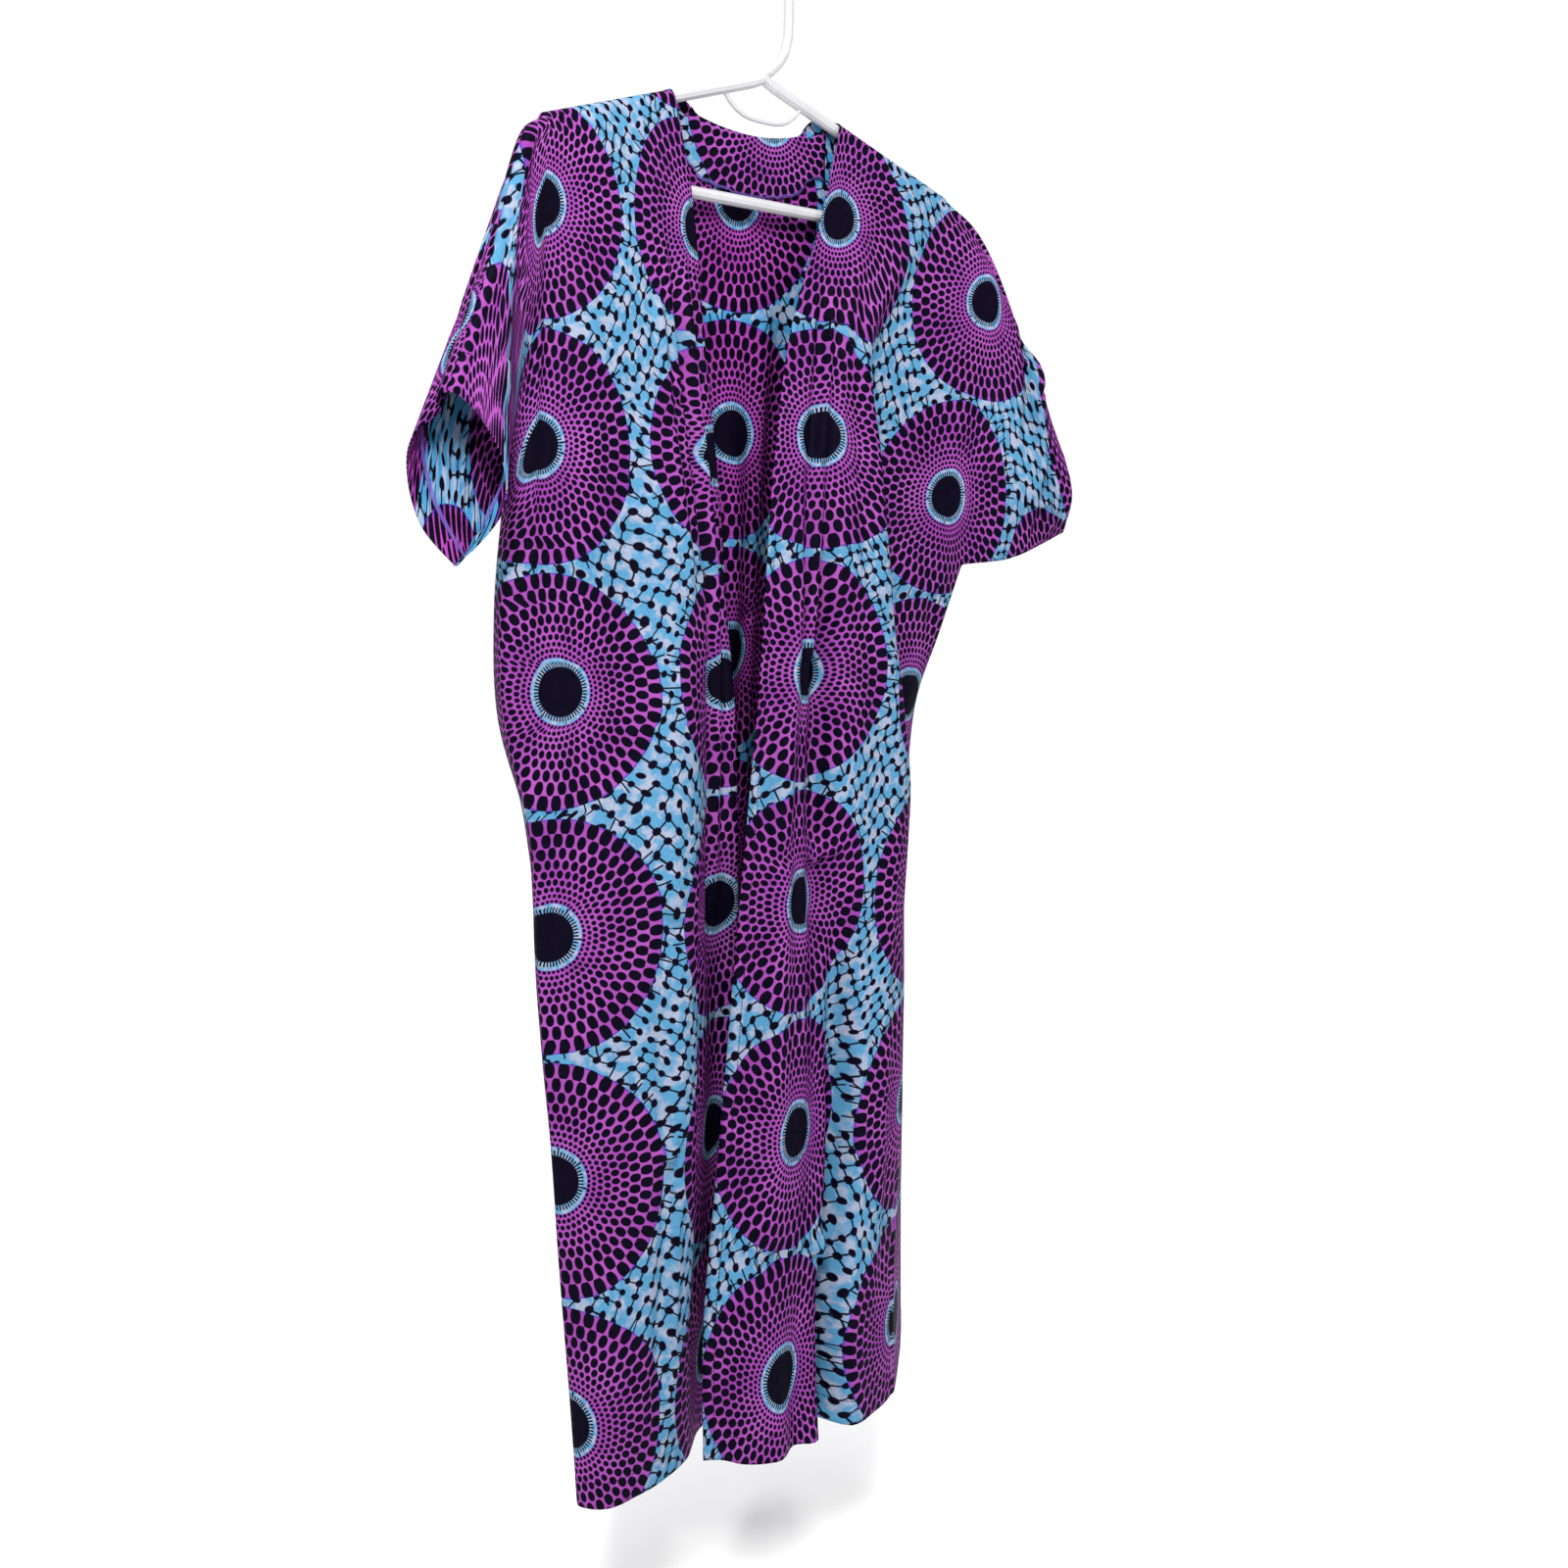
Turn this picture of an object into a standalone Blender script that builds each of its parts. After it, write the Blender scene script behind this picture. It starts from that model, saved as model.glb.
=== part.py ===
# Open-front wax print robe, kimono cut, hung on a white tubular hanger.
#
# Metres, +Z up. The origin is the inner top of the hook, where a rail holds it.
# X runs along the hanger and the open front faces -Y. Left and right are the
# viewer's, seen from the front.

import math

import bmesh
import bpy
from mathutils import Vector

# Hanger sizes
TUBE_RADIUS = 0.0049
HOOK_INNER_RADIUS = 0.0230
HOOK_RADIUS = 0.0043
APEX_Z = -0.1000
ARM_END_X = 0.1920
ARM_SLOPE = 0.3450
BAR_Z = -0.2010
LOOP_WIRE_RADIUS = 0.0019
LOOP_HALF_WIDTH = 0.0400
LOOP_BOTTOM_Z = -0.1335
LOOP_SQUARENESS = 3.2
LOOP_STEPS = 12
END_STEPS = 9
HOOK_STEPS = 14
HOOK_SWEEP = 200.0

# Cloth sizes
CLOTH = 0.0014
SEAM_GAP = 0.0003
TUBE_CLEARANCE = 0.0010
NECK_LEFT_X = -0.0930
NECK_RIGHT_X = 0.0780
NECK_DIP_Z = -0.1440
NECK_DEPTH_Y = 0.0085
NECK_CLIMB_FROM = 0.75
NECK_HELD_FROM = 0.60
NECK_HELD_OVER = 0.20
FACING_ROWS = 4
FACING_DEPTH = 0.0480
FACING_GAP = 0.0005
FACING_INSET = 0.0040

# The sleeves swing forward: the overarm line turns by this angle between two places
SLEEVE_SWING = math.radians(24.0)
SWING_FROM = 0.1960
SWING_TO = 0.2240

# The left sleeve's back bulges past its overarm seam by this share of the way to the mouth
LEFT_MOUTH_SWELL = 0.16

# Section levels: mesh steps to each from the one above. The first three wrap the arm.
WRAP_TURNS = (0.0, 48.0, 95.0)
LEVEL_STEPS = (1, 1, 2, 3, 3, 3, 2, 2, 2, 3, 4, 3, 3)
LEVEL_MARKS = (0.0, 0.0046, 0.0092, 0.050, 0.145, 0.235, 0.315, 0.385, 0.455, 0.530,
               0.650, 0.800, 0.910, 1.013)
WRAP_LEVELS = 3
UNDERARM_LEVEL = 6

# Heights of the levels below the hanger, on the left and on the right of the body
LEFT_HEIGHTS = (-0.200, -0.290, -0.370, -0.440, -0.520, -0.600, -0.680,
                -0.800, -0.950, -1.060, -1.163)
RIGHT_HEIGHTS = (-0.200, -0.300, -0.400, -0.490, -0.550, -0.610, -0.680,
                 -0.800, -0.950, -1.060, -1.163)

# Right front: plan points (x, y) of each section, from the front edge outwards.
# The ridge is the fold that drops from the hanger's end, the tuck lies behind it.
# Columns: edge, disc, mid, ridge, tuck, far, side, half, mouth.
RIGHT_STATIONS = (-0.060, 0.000, 0.060, 0.100, 0.130, 0.185, 0.225, 0.280, 0.340)
RIGHT_STEPS = (4, 6, 3, 2, 3, 2, 3, 3)
RIGHT_SHOULDER = (NECK_RIGHT_X, 0.088, 0.128, 0.165, 0.199, 0.244, 0.263, 0.284, 0.297)
RIGHT_FRONT_ROWS = (
    ((0.056, -0.008), (0.071, -0.009), (0.128, -0.010), (0.160, -0.011), (0.196, -0.010)),
    ((0.021, -0.010), (0.057, -0.014), (0.078, -0.022), (0.095, -0.026), (0.122, -0.010)),
    ((0.001, -0.014), (0.042, -0.020), (0.072, -0.027), (0.100, -0.031), (0.100, -0.009)),
    ((-0.012, -0.020), (0.030, -0.028), (0.070, -0.034), (0.106, -0.035), (0.104, -0.008)),
    ((-0.018, -0.022), (0.024, -0.030), (0.067, -0.037), (0.111, -0.036), (0.109, -0.009),
     (0.167, -0.005), (0.200, 0.000)),
    ((-0.026, -0.025), (0.017, -0.034), (0.064, -0.042), (0.119, -0.038), (0.119, -0.011),
     (0.157, -0.004), (0.175, 0.004)),
    ((-0.037, -0.028), (0.010, -0.038), (0.062, -0.046), (0.122, -0.041), (0.130, -0.022),
     (0.146, -0.010), (0.172, 0.012)),
    ((-0.054, -0.032), (0.001, -0.045), (0.052, -0.055), (0.098, -0.053), (0.117, -0.040),
     (0.131, -0.024), (0.168, 0.016)),
    ((-0.074, -0.036), (-0.013, -0.055), (0.040, -0.068), (0.080, -0.063), (0.098, -0.055),
     (0.114, -0.040), (0.165, 0.012)),
    ((-0.088, -0.039), (-0.032, -0.064), (0.020, -0.076), (0.062, -0.069), (0.080, -0.063),
     (0.097, -0.052), (0.162, 0.010)),
    ((-0.088, -0.039), (-0.040, -0.070), (0.017, -0.078), (0.060, -0.070), (0.080, -0.062),
     (0.097, -0.051), (0.160, 0.008)),
)

# Left front, from the front edge outwards.
# Columns: edge, near, crest, mid, disc, ridge, side, half, mouth.
LEFT_STATIONS = (-0.020, 0.020, 0.075, 0.130, 0.185, 0.222, 0.240, 0.295, 0.355)
LEFT_STEPS = (3, 4, 4, 4, 2, 2, 3, 3)
LEFT_SHOULDER = (NECK_LEFT_X, -0.108, -0.135, -0.168, -0.199, -0.211, -0.224, -0.262, -0.305)
LEFT_FRONT_ROWS = (
    ((-0.078, -0.008), (-0.098, -0.010), (-0.130, -0.012), (-0.168, -0.012), (-0.200, -0.010),
     (-0.2125, -0.0105)),
    ((-0.069, -0.010), (-0.090, -0.014), (-0.125, -0.020), (-0.172, -0.022), (-0.206, -0.013),
     (-0.2195, -0.021)),
    ((-0.061, -0.012), (-0.082, -0.018), (-0.120, -0.028), (-0.167, -0.027), (-0.211, -0.022),
     (-0.2305, -0.0250)),
    ((-0.055, -0.013), (-0.075, -0.021), (-0.115, -0.036), (-0.162, -0.030), (-0.213, -0.024),
     (-0.235, -0.023)),
    ((-0.049, -0.014), (-0.069, -0.022), (-0.110, -0.045), (-0.158, -0.034), (-0.209, -0.024),
     (-0.243, -0.020), (-0.240, 0.003)),
    ((-0.040, -0.014), (-0.064, -0.018), (-0.110, -0.051), (-0.155, -0.038), (-0.206, -0.024),
     (-0.240, -0.018), (-0.233, 0.011)),
    ((-0.036, -0.012), (-0.062, -0.013), (-0.110, -0.054), (-0.155, -0.042), (-0.205, -0.022),
     (-0.220, -0.014), (-0.207, 0.017)),
    ((-0.030, -0.006), (-0.058, -0.007), (-0.112, -0.055), (-0.155, -0.046), (-0.203, -0.020),
     (-0.211, -0.008), (-0.187, 0.029)),
    ((-0.024, -0.004), (-0.058, -0.005), (-0.112, -0.054), (-0.150, -0.052), (-0.198, -0.022),
     (-0.193, -0.004), (-0.165, 0.037)),
    ((-0.024, -0.004), (-0.060, -0.003), (-0.110, -0.044), (-0.150, -0.050), (-0.192, -0.026),
     (-0.184, -0.005), (-0.155, 0.039)),
    ((-0.024, -0.004), (-0.062, -0.001), (-0.100, -0.031), (-0.150, -0.043), (-0.187, -0.030),
     (-0.176, -0.007), (-0.147, 0.039)),
)

# Fold depth runs square to the row, read this far to each side in stations.
# It fades in below the fold's top and out above its bottom over these heights.
FOLD_PROBE = 0.0040
FOLD_FADE_TOP = 0.1800
FOLD_FADE_BOTTOM = 0.1000

# Seams below or beyond these places part by a gap; the shoulder seam has its own
SEAM_FROM_X = 0.2300
SEAM_FROM_Z = -0.2100
SEAM_SPREAD = 0.6

# Where sleeve and body meet under the arm, the seam's corner opens this many times more
UNDERARM_OPENING = 8.0

# Back, from the left wing to the right wing; the side seams come from the fronts
BACK_STATIONS = (-0.355, -0.295, -0.240, -0.215, -0.195, -0.090, 0.000, 0.090, 0.155,
                 0.195, 0.225, 0.280, 0.340)
BACK_STEPS = (3, 3, 2, 2, 8, 7, 7, 6, 3, 2, 3, 3)
BACK_SHOULDER = (-0.305, -0.262, -0.224, -0.211, -0.199, NECK_LEFT_X, -0.003, NECK_RIGHT_X,
                 0.199, 0.244, 0.263, 0.284, 0.297)
BACK_SIDES = (2, 10)
BACK_ROWS = (
    ((-0.214, 0.003), (-0.206, 0.009), (-0.090, 0.011), (0.000, 0.012), (0.085, 0.011),
     (0.201, 0.0095)),
    ((-0.222, 0.009), (-0.212, 0.012), (-0.088, 0.017), (0.000, 0.019), (0.084, 0.017),
     (0.196, 0.012)),
    ((-0.219, 0.011), (-0.208, 0.015), (-0.086, 0.023), (0.000, 0.026), (0.082, 0.023),
     (0.178, 0.015)),
    ((-0.222, 0.008), (-0.204, 0.017), (-0.084, 0.029), (0.000, 0.032), (0.080, 0.028),
     (0.156, 0.018)),
    ((-0.220, 0.017), (-0.196, 0.024), (-0.083, 0.034), (0.000, 0.037), (0.078, 0.033),
     (0.146, 0.021), (0.175, 0.012)),
    ((-0.214, 0.023), (-0.190, 0.030), (-0.082, 0.040), (0.000, 0.043), (0.078, 0.038),
     (0.136, 0.027), (0.160, 0.017)),
    ((-0.194, 0.029), (-0.174, 0.036), (-0.080, 0.046), (0.000, 0.049), (0.078, 0.044),
     (0.132, 0.033), (0.155, 0.023)),
    ((-0.171, 0.040), (-0.154, 0.045), (-0.078, 0.055), (0.000, 0.058), (0.076, 0.053),
     (0.129, 0.040), (0.152, 0.029)),
    ((-0.149, 0.047), (-0.135, 0.053), (-0.075, 0.064), (0.000, 0.067), (0.072, 0.061),
     (0.125, 0.044), (0.148, 0.030)),
    ((-0.139, 0.050), (-0.125, 0.056), (-0.070, 0.068), (0.000, 0.071), (0.070, 0.064),
     (0.121, 0.045), (0.144, 0.030)),
    ((-0.131, 0.050), (-0.118, 0.057), (-0.070, 0.069), (0.000, 0.073), (0.070, 0.066),
     (0.119, 0.045), (0.142, 0.029)),
)

# Overarm seams: height at each place along the line, past the hanger's end.
# The line leaves the hanger's own slope at OVERARM_FROM.
OVERARM_FROM = 0.1800
OVERARM_PROBE = 0.0020
LEFT_OVERARM = ((0.204, -0.168), (0.224, -0.186), (0.262, -0.284), (0.305, -0.376))
RIGHT_OVERARM = ((0.204, -0.166), (0.244, -0.202), (0.283, -0.296), (0.297, -0.362))

# Sleeves below the overarm seam: (place along the line, offset to the back, height),
# first the body's side column, then half way, then the mouth. The last row is the underarm.
LEFT_SLEEVE_FRONT = (
    ((0.223, -0.006, -0.216), (0.262, -0.015, -0.306), (0.299, -0.021, -0.392)),
    ((0.242, -0.017, -0.315), (0.262, -0.020, -0.352), (0.291, -0.034, -0.424)),
    ((0.245, -0.011, -0.385), (0.262, -0.018, -0.408), (0.287, -0.029, -0.458)),
    ((0.238, 0.005, -0.440), (0.268, 0.000, -0.472), (0.297, 0.000, -0.491)),
)
LEFT_SLEEVE_BACK = (
    ((0.226, 0.011, -0.216), (0.262, 0.023, -0.312), (0.302, 0.028, -0.400)),
    ((0.228, 0.015, -0.292), (0.263, 0.032, -0.356), (0.303, 0.035, -0.428)),
    ((0.228, 0.014, -0.368), (0.262, 0.026, -0.408), (0.300, 0.026, -0.464)),
    ((0.238, 0.005, -0.440), (0.268, 0.000, -0.472), (0.297, 0.000, -0.491)),
)
RIGHT_SLEEVE_FRONT = (
    ((0.246, -0.011, -0.236), (0.265, -0.013, -0.268), (0.286, -0.016, -0.312),
     (0.302, -0.020, -0.378)),
    ((0.228, -0.013, -0.322), (0.257, -0.018, -0.338), (0.287, -0.024, -0.362),
     (0.311, -0.030, -0.402)),
    ((0.198, -0.014, -0.425), (0.235, -0.014, -0.425), (0.281, -0.024, -0.425),
     (0.318, -0.027, -0.431)),
    ((0.182, -0.010, -0.498), (0.223, 0.000, -0.491), (0.274, 0.000, -0.484),
     (0.322, 0.000, -0.461)),
)
RIGHT_SLEEVE_BACK = (
    ((0.246, 0.007, -0.234), (0.265, 0.008, -0.268), (0.286, 0.012, -0.312),
     (0.300, 0.016, -0.378)),
    ((0.228, 0.011, -0.322), (0.255, 0.012, -0.338), (0.286, 0.018, -0.362),
     (0.306, 0.024, -0.402)),
    ((0.206, 0.011, -0.423), (0.238, 0.010, -0.424), (0.281, 0.016, -0.426),
     (0.313, 0.022, -0.434)),
    ((0.190, 0.010, -0.496), (0.223, 0.000, -0.491), (0.274, 0.000, -0.484),
     (0.322, 0.000, -0.461)),
)

# Folds: (station at the top, station at the hem, top, bottom, depth, half width)
RIGHT_FRONT_FOLDS = (
    (-0.024, -0.026, -0.360, -1.260, 0.007, 0.022),
    (0.020, 0.018, -0.340, -1.260, -0.010, 0.022),
    (0.047, 0.058, -0.700, -1.300, -0.026, 0.017),
)
LEFT_FRONT_FOLDS = (
    (0.120, 0.130, -0.300, -0.720, -0.006, 0.035),
    (0.150, 0.160, -0.620, -1.260, 0.004, 0.030),
    (0.030, 0.035, -0.180, -0.560, -0.005, 0.018),
)
BACK_FOLDS = (
    (-0.205, -0.200, -0.400, -1.300, 0.008, 0.035),
    (-0.150, -0.150, -0.260, -1.300, -0.016, 0.034),
    (-0.085, -0.090, -0.220, -1.260, 0.012, 0.034),
    (-0.020, -0.015, -0.300, -1.300, -0.018, 0.034),
    (0.048, 0.055, -0.220, -1.300, 0.013, 0.034),
    (0.115, 0.120, -0.320, -1.260, -0.016, 0.034),
    (0.180, 0.185, -0.400, -1.300, 0.008, 0.030),
)


def clear_scene():
    for item in list(bpy.data.objects):
        bpy.data.objects.remove(item, do_unlink=True)


def make_collection(name):
    collection = bpy.data.collections.new(name)
    bpy.context.scene.collection.children.link(collection)
    return collection


def make_material(name, colour, roughness, metallic=0.0):
    material = bpy.data.materials.new(name)
    material.use_nodes = True
    shader = material.node_tree.nodes["Principled BSDF"]
    shader.inputs["Base Color"].default_value = (*colour, 1.0)
    shader.inputs["Roughness"].default_value = roughness
    shader.inputs["Metallic"].default_value = metallic
    return material


def curve_through(points, marks, at):
    """A smooth curve through points (or numbers), read at one place along its marks."""
    last = len(points) - 1
    index = 0
    while index < last - 1 and at > marks[index + 1]:
        index += 1
    span = marks[index + 1] - marks[index]
    t = (at - marks[index]) / span

    def slope(i):
        low = max(i - 1, 0)
        high = min(i + 1, last)
        return (points[high] - points[low]) / (marks[high] - marks[low])

    bow = t * t * (3.0 - 2.0 * t)
    start = points[index] * (1.0 - bow) + slope(index) * (span * t * (1.0 - t) ** 2)
    end = points[index + 1] * bow - slope(index + 1) * (span * t * t * (1.0 - t))
    return start + end


def line_through(values, marks, at):
    """Values read in a straight line between their marks."""
    index = 0
    while index < len(marks) - 2 and at > marks[index + 1]:
        index += 1
    share = (at - marks[index]) / (marks[index + 1] - marks[index])
    return values[index] + (values[index + 1] - values[index]) * share


def stepped(marks, steps):
    """Places along the marks, with the given number of steps in each stretch."""
    places = [marks[0]]
    for index, count in enumerate(steps):
        span = marks[index + 1] - marks[index]
        places += [marks[index] + span * (k + 1) / count for k in range(count)]
    return places


def smooth_step(value):
    value = min(max(value, 0.0), 1.0)
    return value * value * (3.0 - 2.0 * value)


def swing(side, along, back):
    """Plan point of a place along the overarm line, offset to the back of it."""
    turn_radius = (SWING_TO - SWING_FROM) / SLEEVE_SWING
    turned = min(max((along - SWING_FROM) / (SWING_TO - SWING_FROM), 0.0), 1.0) * SLEEVE_SWING
    rest = max(along - SWING_TO, 0.0)
    x = min(along, SWING_FROM) + turn_radius * math.sin(turned) + rest * math.cos(turned)
    y = -turn_radius * (1.0 - math.cos(turned)) - rest * math.sin(turned)
    return side * (x + back * math.sin(turned)), y + back * math.cos(turned)


def sleeve_point(side, place):
    along, back, height = place
    x, y = swing(side, along, back)
    return Vector((x, y, height))


def arm_height(x):
    """Height of the arm's centre line above a place along the hanger."""
    return APEX_Z - ARM_SLOPE * abs(x)


def overarm_height(side, along):
    """Height of the shoulder and overarm seam above the hanger's centre line."""
    over = LEFT_OVERARM if side < 0 else RIGHT_OVERARM
    if along <= over[0][0]:
        return arm_height(along) + TUBE_RADIUS + TUBE_CLEARANCE
    places = [OVERARM_FROM] + [place for place, _ in over]
    heights = [arm_height(OVERARM_FROM) + TUBE_RADIUS + TUBE_CLEARANCE] + [h for _, h in over]
    return curve_through(heights, places, along)


def neck_point(across, turn):
    """Point of the back's neck edge; near its corners it climbs over the hanger's arm."""
    middle = (NECK_LEFT_X + NECK_RIGHT_X) / 2
    share = abs((across - middle) / ((NECK_RIGHT_X - NECK_LEFT_X) / 2))
    radius = TUBE_RADIUS + TUBE_CLEARANCE
    corner = arm_height(NECK_RIGHT_X if across > middle else NECK_LEFT_X) + radius
    falling = math.radians(turn) * radius
    free = NECK_DIP_Z + (corner - NECK_DIP_Z) * share * share - falling
    near = max(0.0, (share - NECK_CLIMB_FROM) / (1.0 - NECK_CLIMB_FROM))
    radius += (NECK_DEPTH_Y - radius) * (1.0 - near)
    angle = math.radians(WRAP_TURNS[-1]) * (1.0 - near) + math.radians(turn)
    over = min(angle, math.radians(WRAP_TURNS[-1]))
    held = arm_height(across) + radius * math.cos(over) - radius * (angle - over)
    share_held = smooth_step((share - NECK_HELD_FROM) / NECK_HELD_OVER)
    return Vector((across, radius * math.sin(over), free + (held - free) * share_held))


def wrap_point(across, turn, facing, in_neck):
    """Point over the hanger's arm: turn is 0 at the shoulder seam, 95 at the arm's side."""
    if in_neck and NECK_LEFT_X < across < NECK_RIGHT_X:
        return neck_point(across, turn)
    angle = math.radians(turn)
    side = -1 if across < 0 else 1
    along = abs(across)
    swell = LEFT_MOUTH_SWELL if side < 0 and facing > 0 else 0.0
    radius = TUBE_RADIUS + TUBE_CLEARANCE + swell * max(0.0, along - SWING_TO)
    back = facing * max(radius * math.sin(angle), SEAM_GAP / 2)
    down = radius * (1.0 - math.cos(angle))
    before = overarm_height(side, along - OVERARM_PROBE)
    after = overarm_height(side, along + OVERARM_PROBE)
    slope = math.atan2(before - after, 2.0 * OVERARM_PROBE)
    height = overarm_height(side, along) - down * math.cos(slope)
    return sleeve_point(side, (along - down * math.sin(slope), back, height))


def fold_offset(folds, station, height):
    """How far the folds push the cloth out at one place."""
    total = 0.0
    for top_at, hem_at, top, bottom, depth, width in folds:
        if bottom < height < top:
            centre = top_at + (hem_at - top_at) * (top - height) / (top - bottom)
            distance = abs(station - centre) / width
            if distance < 1.0:
                fade = smooth_step((top - height) / FOLD_FADE_TOP)
                fade *= smooth_step((height - bottom) / FOLD_FADE_BOTTOM)
                total += depth * fade * (0.5 + 0.5 * math.cos(math.pi * distance))
    return total


def column_at(column, at, is_side):
    """A column's point at one place down the cloth; a side seam starts at the underarm."""
    marks = LEVEL_MARKS[:len(column)]
    under = LEVEL_MARKS[UNDERARM_LEVEL]
    if is_side and at >= under - 1e-6:
        return curve_through(column[UNDERARM_LEVEL:], marks[UNDERARM_LEVEL:], at)
    return curve_through(column, marks, at)


def row_at(points, stations, at, breaks):
    """A row's point at one station; between a break's two columns the row starts anew."""
    for low, high in breaks:
        if stations[low] - 1e-6 <= at <= stations[high] + 1e-6:
            return curve_through(points[low:high + 1], stations[low:high + 1], at)
    return curve_through(points, stations, at)


def sheet_grid(rows, stations, steps, shoulder, sides, facing, folds):
    """Points of a cloth sheet, row by row, None where the cloth isn't."""
    count = len(stations)
    columns = [[row[c] for row in rows if row[c] is not None] for c in range(count)]
    across = stepped(stations, steps)
    under = LEVEL_MARKS[UNDERARM_LEVEL]
    is_back = len(sides) == 2
    is_left_front = shoulder[0] > shoulder[-1]
    grid = []
    for number, down in enumerate(stepped(LEVEL_MARKS, LEVEL_STEPS)):
        if number < WRAP_LEVELS:
            places = [line_through(shoulder, stations, at) for at in across]
            turn = WRAP_TURNS[number]
            grid.append([wrap_point(place, turn, facing, is_back) for place in places])
            continue
        present = [c for c in range(count) if down <= LEVEL_MARKS[len(columns[c]) - 1] + 1e-6]
        places = [stations[c] for c in present]
        points = [column_at(columns[c], down, c in sides) for c in present]
        breaks = []
        if abs(down - under) < 1e-6:
            edges = sorted({0, *sides, count - 1})
            breaks = list(zip(edges, edges[1:]))
        elif is_left_front and LEVEL_MARKS[UNDERARM_LEVEL - 1] < down < under:
            breaks = [(0, sides[0]), (sides[0], count - 1)]
        line = []
        for at in across:
            if at < places[0] - 1e-6 or at > places[-1] + 1e-6:
                line.append(None)
                continue
            point = row_at(points, places, at, breaks)
            ahead = curve_through(points, places, min(at + FOLD_PROBE, places[-1]))
            behind = curve_through(points, places, max(at - FOLD_PROBE, places[0]))
            run = (behind - ahead) if is_left_front else (ahead - behind)
            out = Vector((-run.y, run.x, 0.0)).normalized() * facing
            line.append(point + out * fold_offset(folds, at, point.z))
        grid.append(line)
    return grid


def loft_sheet(name, grid, facing, seamed=True):
    """A cloth sheet through a grid of points, open at its edges."""
    mesh = bmesh.new()
    knots = [[None if p is None else mesh.verts.new(p) for p in line] for line in grid]
    for upper, lower in zip(knots, knots[1:]):
        for k in range(len(upper) - 1):
            corners = (upper[k], upper[k + 1], lower[k + 1], lower[k])
            if None not in corners:
                mesh.faces.new(corners)
    bmesh.ops.recalc_face_normals(mesh, faces=mesh.faces)
    if seamed:
        part_seams(mesh, facing)
    data = bpy.data.meshes.new(name)
    mesh.to_mesh(data)
    mesh.free()
    return data


def part_seams(mesh, facing):
    """Draw the sheet back from its seams by half the seam's gap."""
    moves = []
    for vert in mesh.verts:
        at_seam = abs(vert.co.x) > SEAM_FROM_X or vert.co.z < SEAM_FROM_Z
        if vert.is_boundary and at_seam:
            centre = sum((face.calc_center_median() for face in vert.link_faces), Vector())
            pull = (centre / len(vert.link_faces) - vert.co).normalized() * (SEAM_GAP / 2)
            if len(vert.link_faces) == 3:
                pull *= UNDERARM_OPENING
            moves.append((vert, pull + Vector((0.0, facing * SEAM_GAP * SEAM_SPREAD, 0.0))))
    for vert, move in moves:
        vert.co += move


def front_rows(side, body, sleeve):
    """All the levels of a front: the wrap over the arm, the sleeve levels, the body levels."""
    heights = LEFT_HEIGHTS if side < 0 else RIGHT_HEIGHTS
    shoulder = LEFT_SHOULDER if side < 0 else RIGHT_SHOULDER
    rows = [[wrap_point(x, turn, -1, False) for x in shoulder] for turn in WRAP_TURNS]
    for level, plan in enumerate(body):
        row = [Vector((x, y, heights[level])) for x, y in plan]
        if level < len(sleeve):
            row += [sleeve_point(side, place) for place in sleeve[level]]
        else:
            row += [None] * (len(shoulder) - len(row))
        rows.append(row)
    return rows


def back_rows():
    """All the levels of the back, from the left sleeve's mouth to the right one's."""
    rows = [[wrap_point(x, turn, 1, True) for x in BACK_SHOULDER] for turn in WRAP_TURNS]
    for level, plan in enumerate(BACK_ROWS):
        low, high = LEFT_HEIGHTS[level], RIGHT_HEIGHTS[level]
        first, last = plan[0][0], plan[-1][0]
        row = [Vector((x, y, low + (high - low) * (x - first) / (last - first))) for x, y in plan]
        if level < len(LEFT_SLEEVE_BACK):
            left = [sleeve_point(-1, place) for place in LEFT_SLEEVE_BACK[level]]
            right = [sleeve_point(1, place) for place in RIGHT_SLEEVE_BACK[level]]
            row = left[::-1] + row + right
        else:
            left_x, left_y = LEFT_FRONT_ROWS[level][-1]
            right_x, right_y = RIGHT_FRONT_ROWS[level][-1]
            row = [Vector((left_x, left_y, low))] + row + [Vector((right_x, right_y, high))]
            row = [None, None] + row + [None, None]
        rows.append(row)
    return rows


def make_wall(name, data, material, collection, outward):
    """Give a sheet its thickness on its outer side."""
    item = bpy.data.objects.new(name, data)
    collection.objects.link(item)
    data.materials.append(material)
    middle = sum((poly.normal.y * poly.area for poly in data.polygons))
    if middle * outward < 0:
        data.flip_normals()
    wall = item.modifiers.new("wall", "SOLIDIFY")
    wall.thickness = CLOTH
    wall.offset = 1.0
    wall.use_even_offset = False
    split = item.modifiers.new("split", "TRIANGULATE")
    split.quad_method = "SHORTEST_DIAGONAL"
    data.shade_smooth()
    return item


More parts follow.
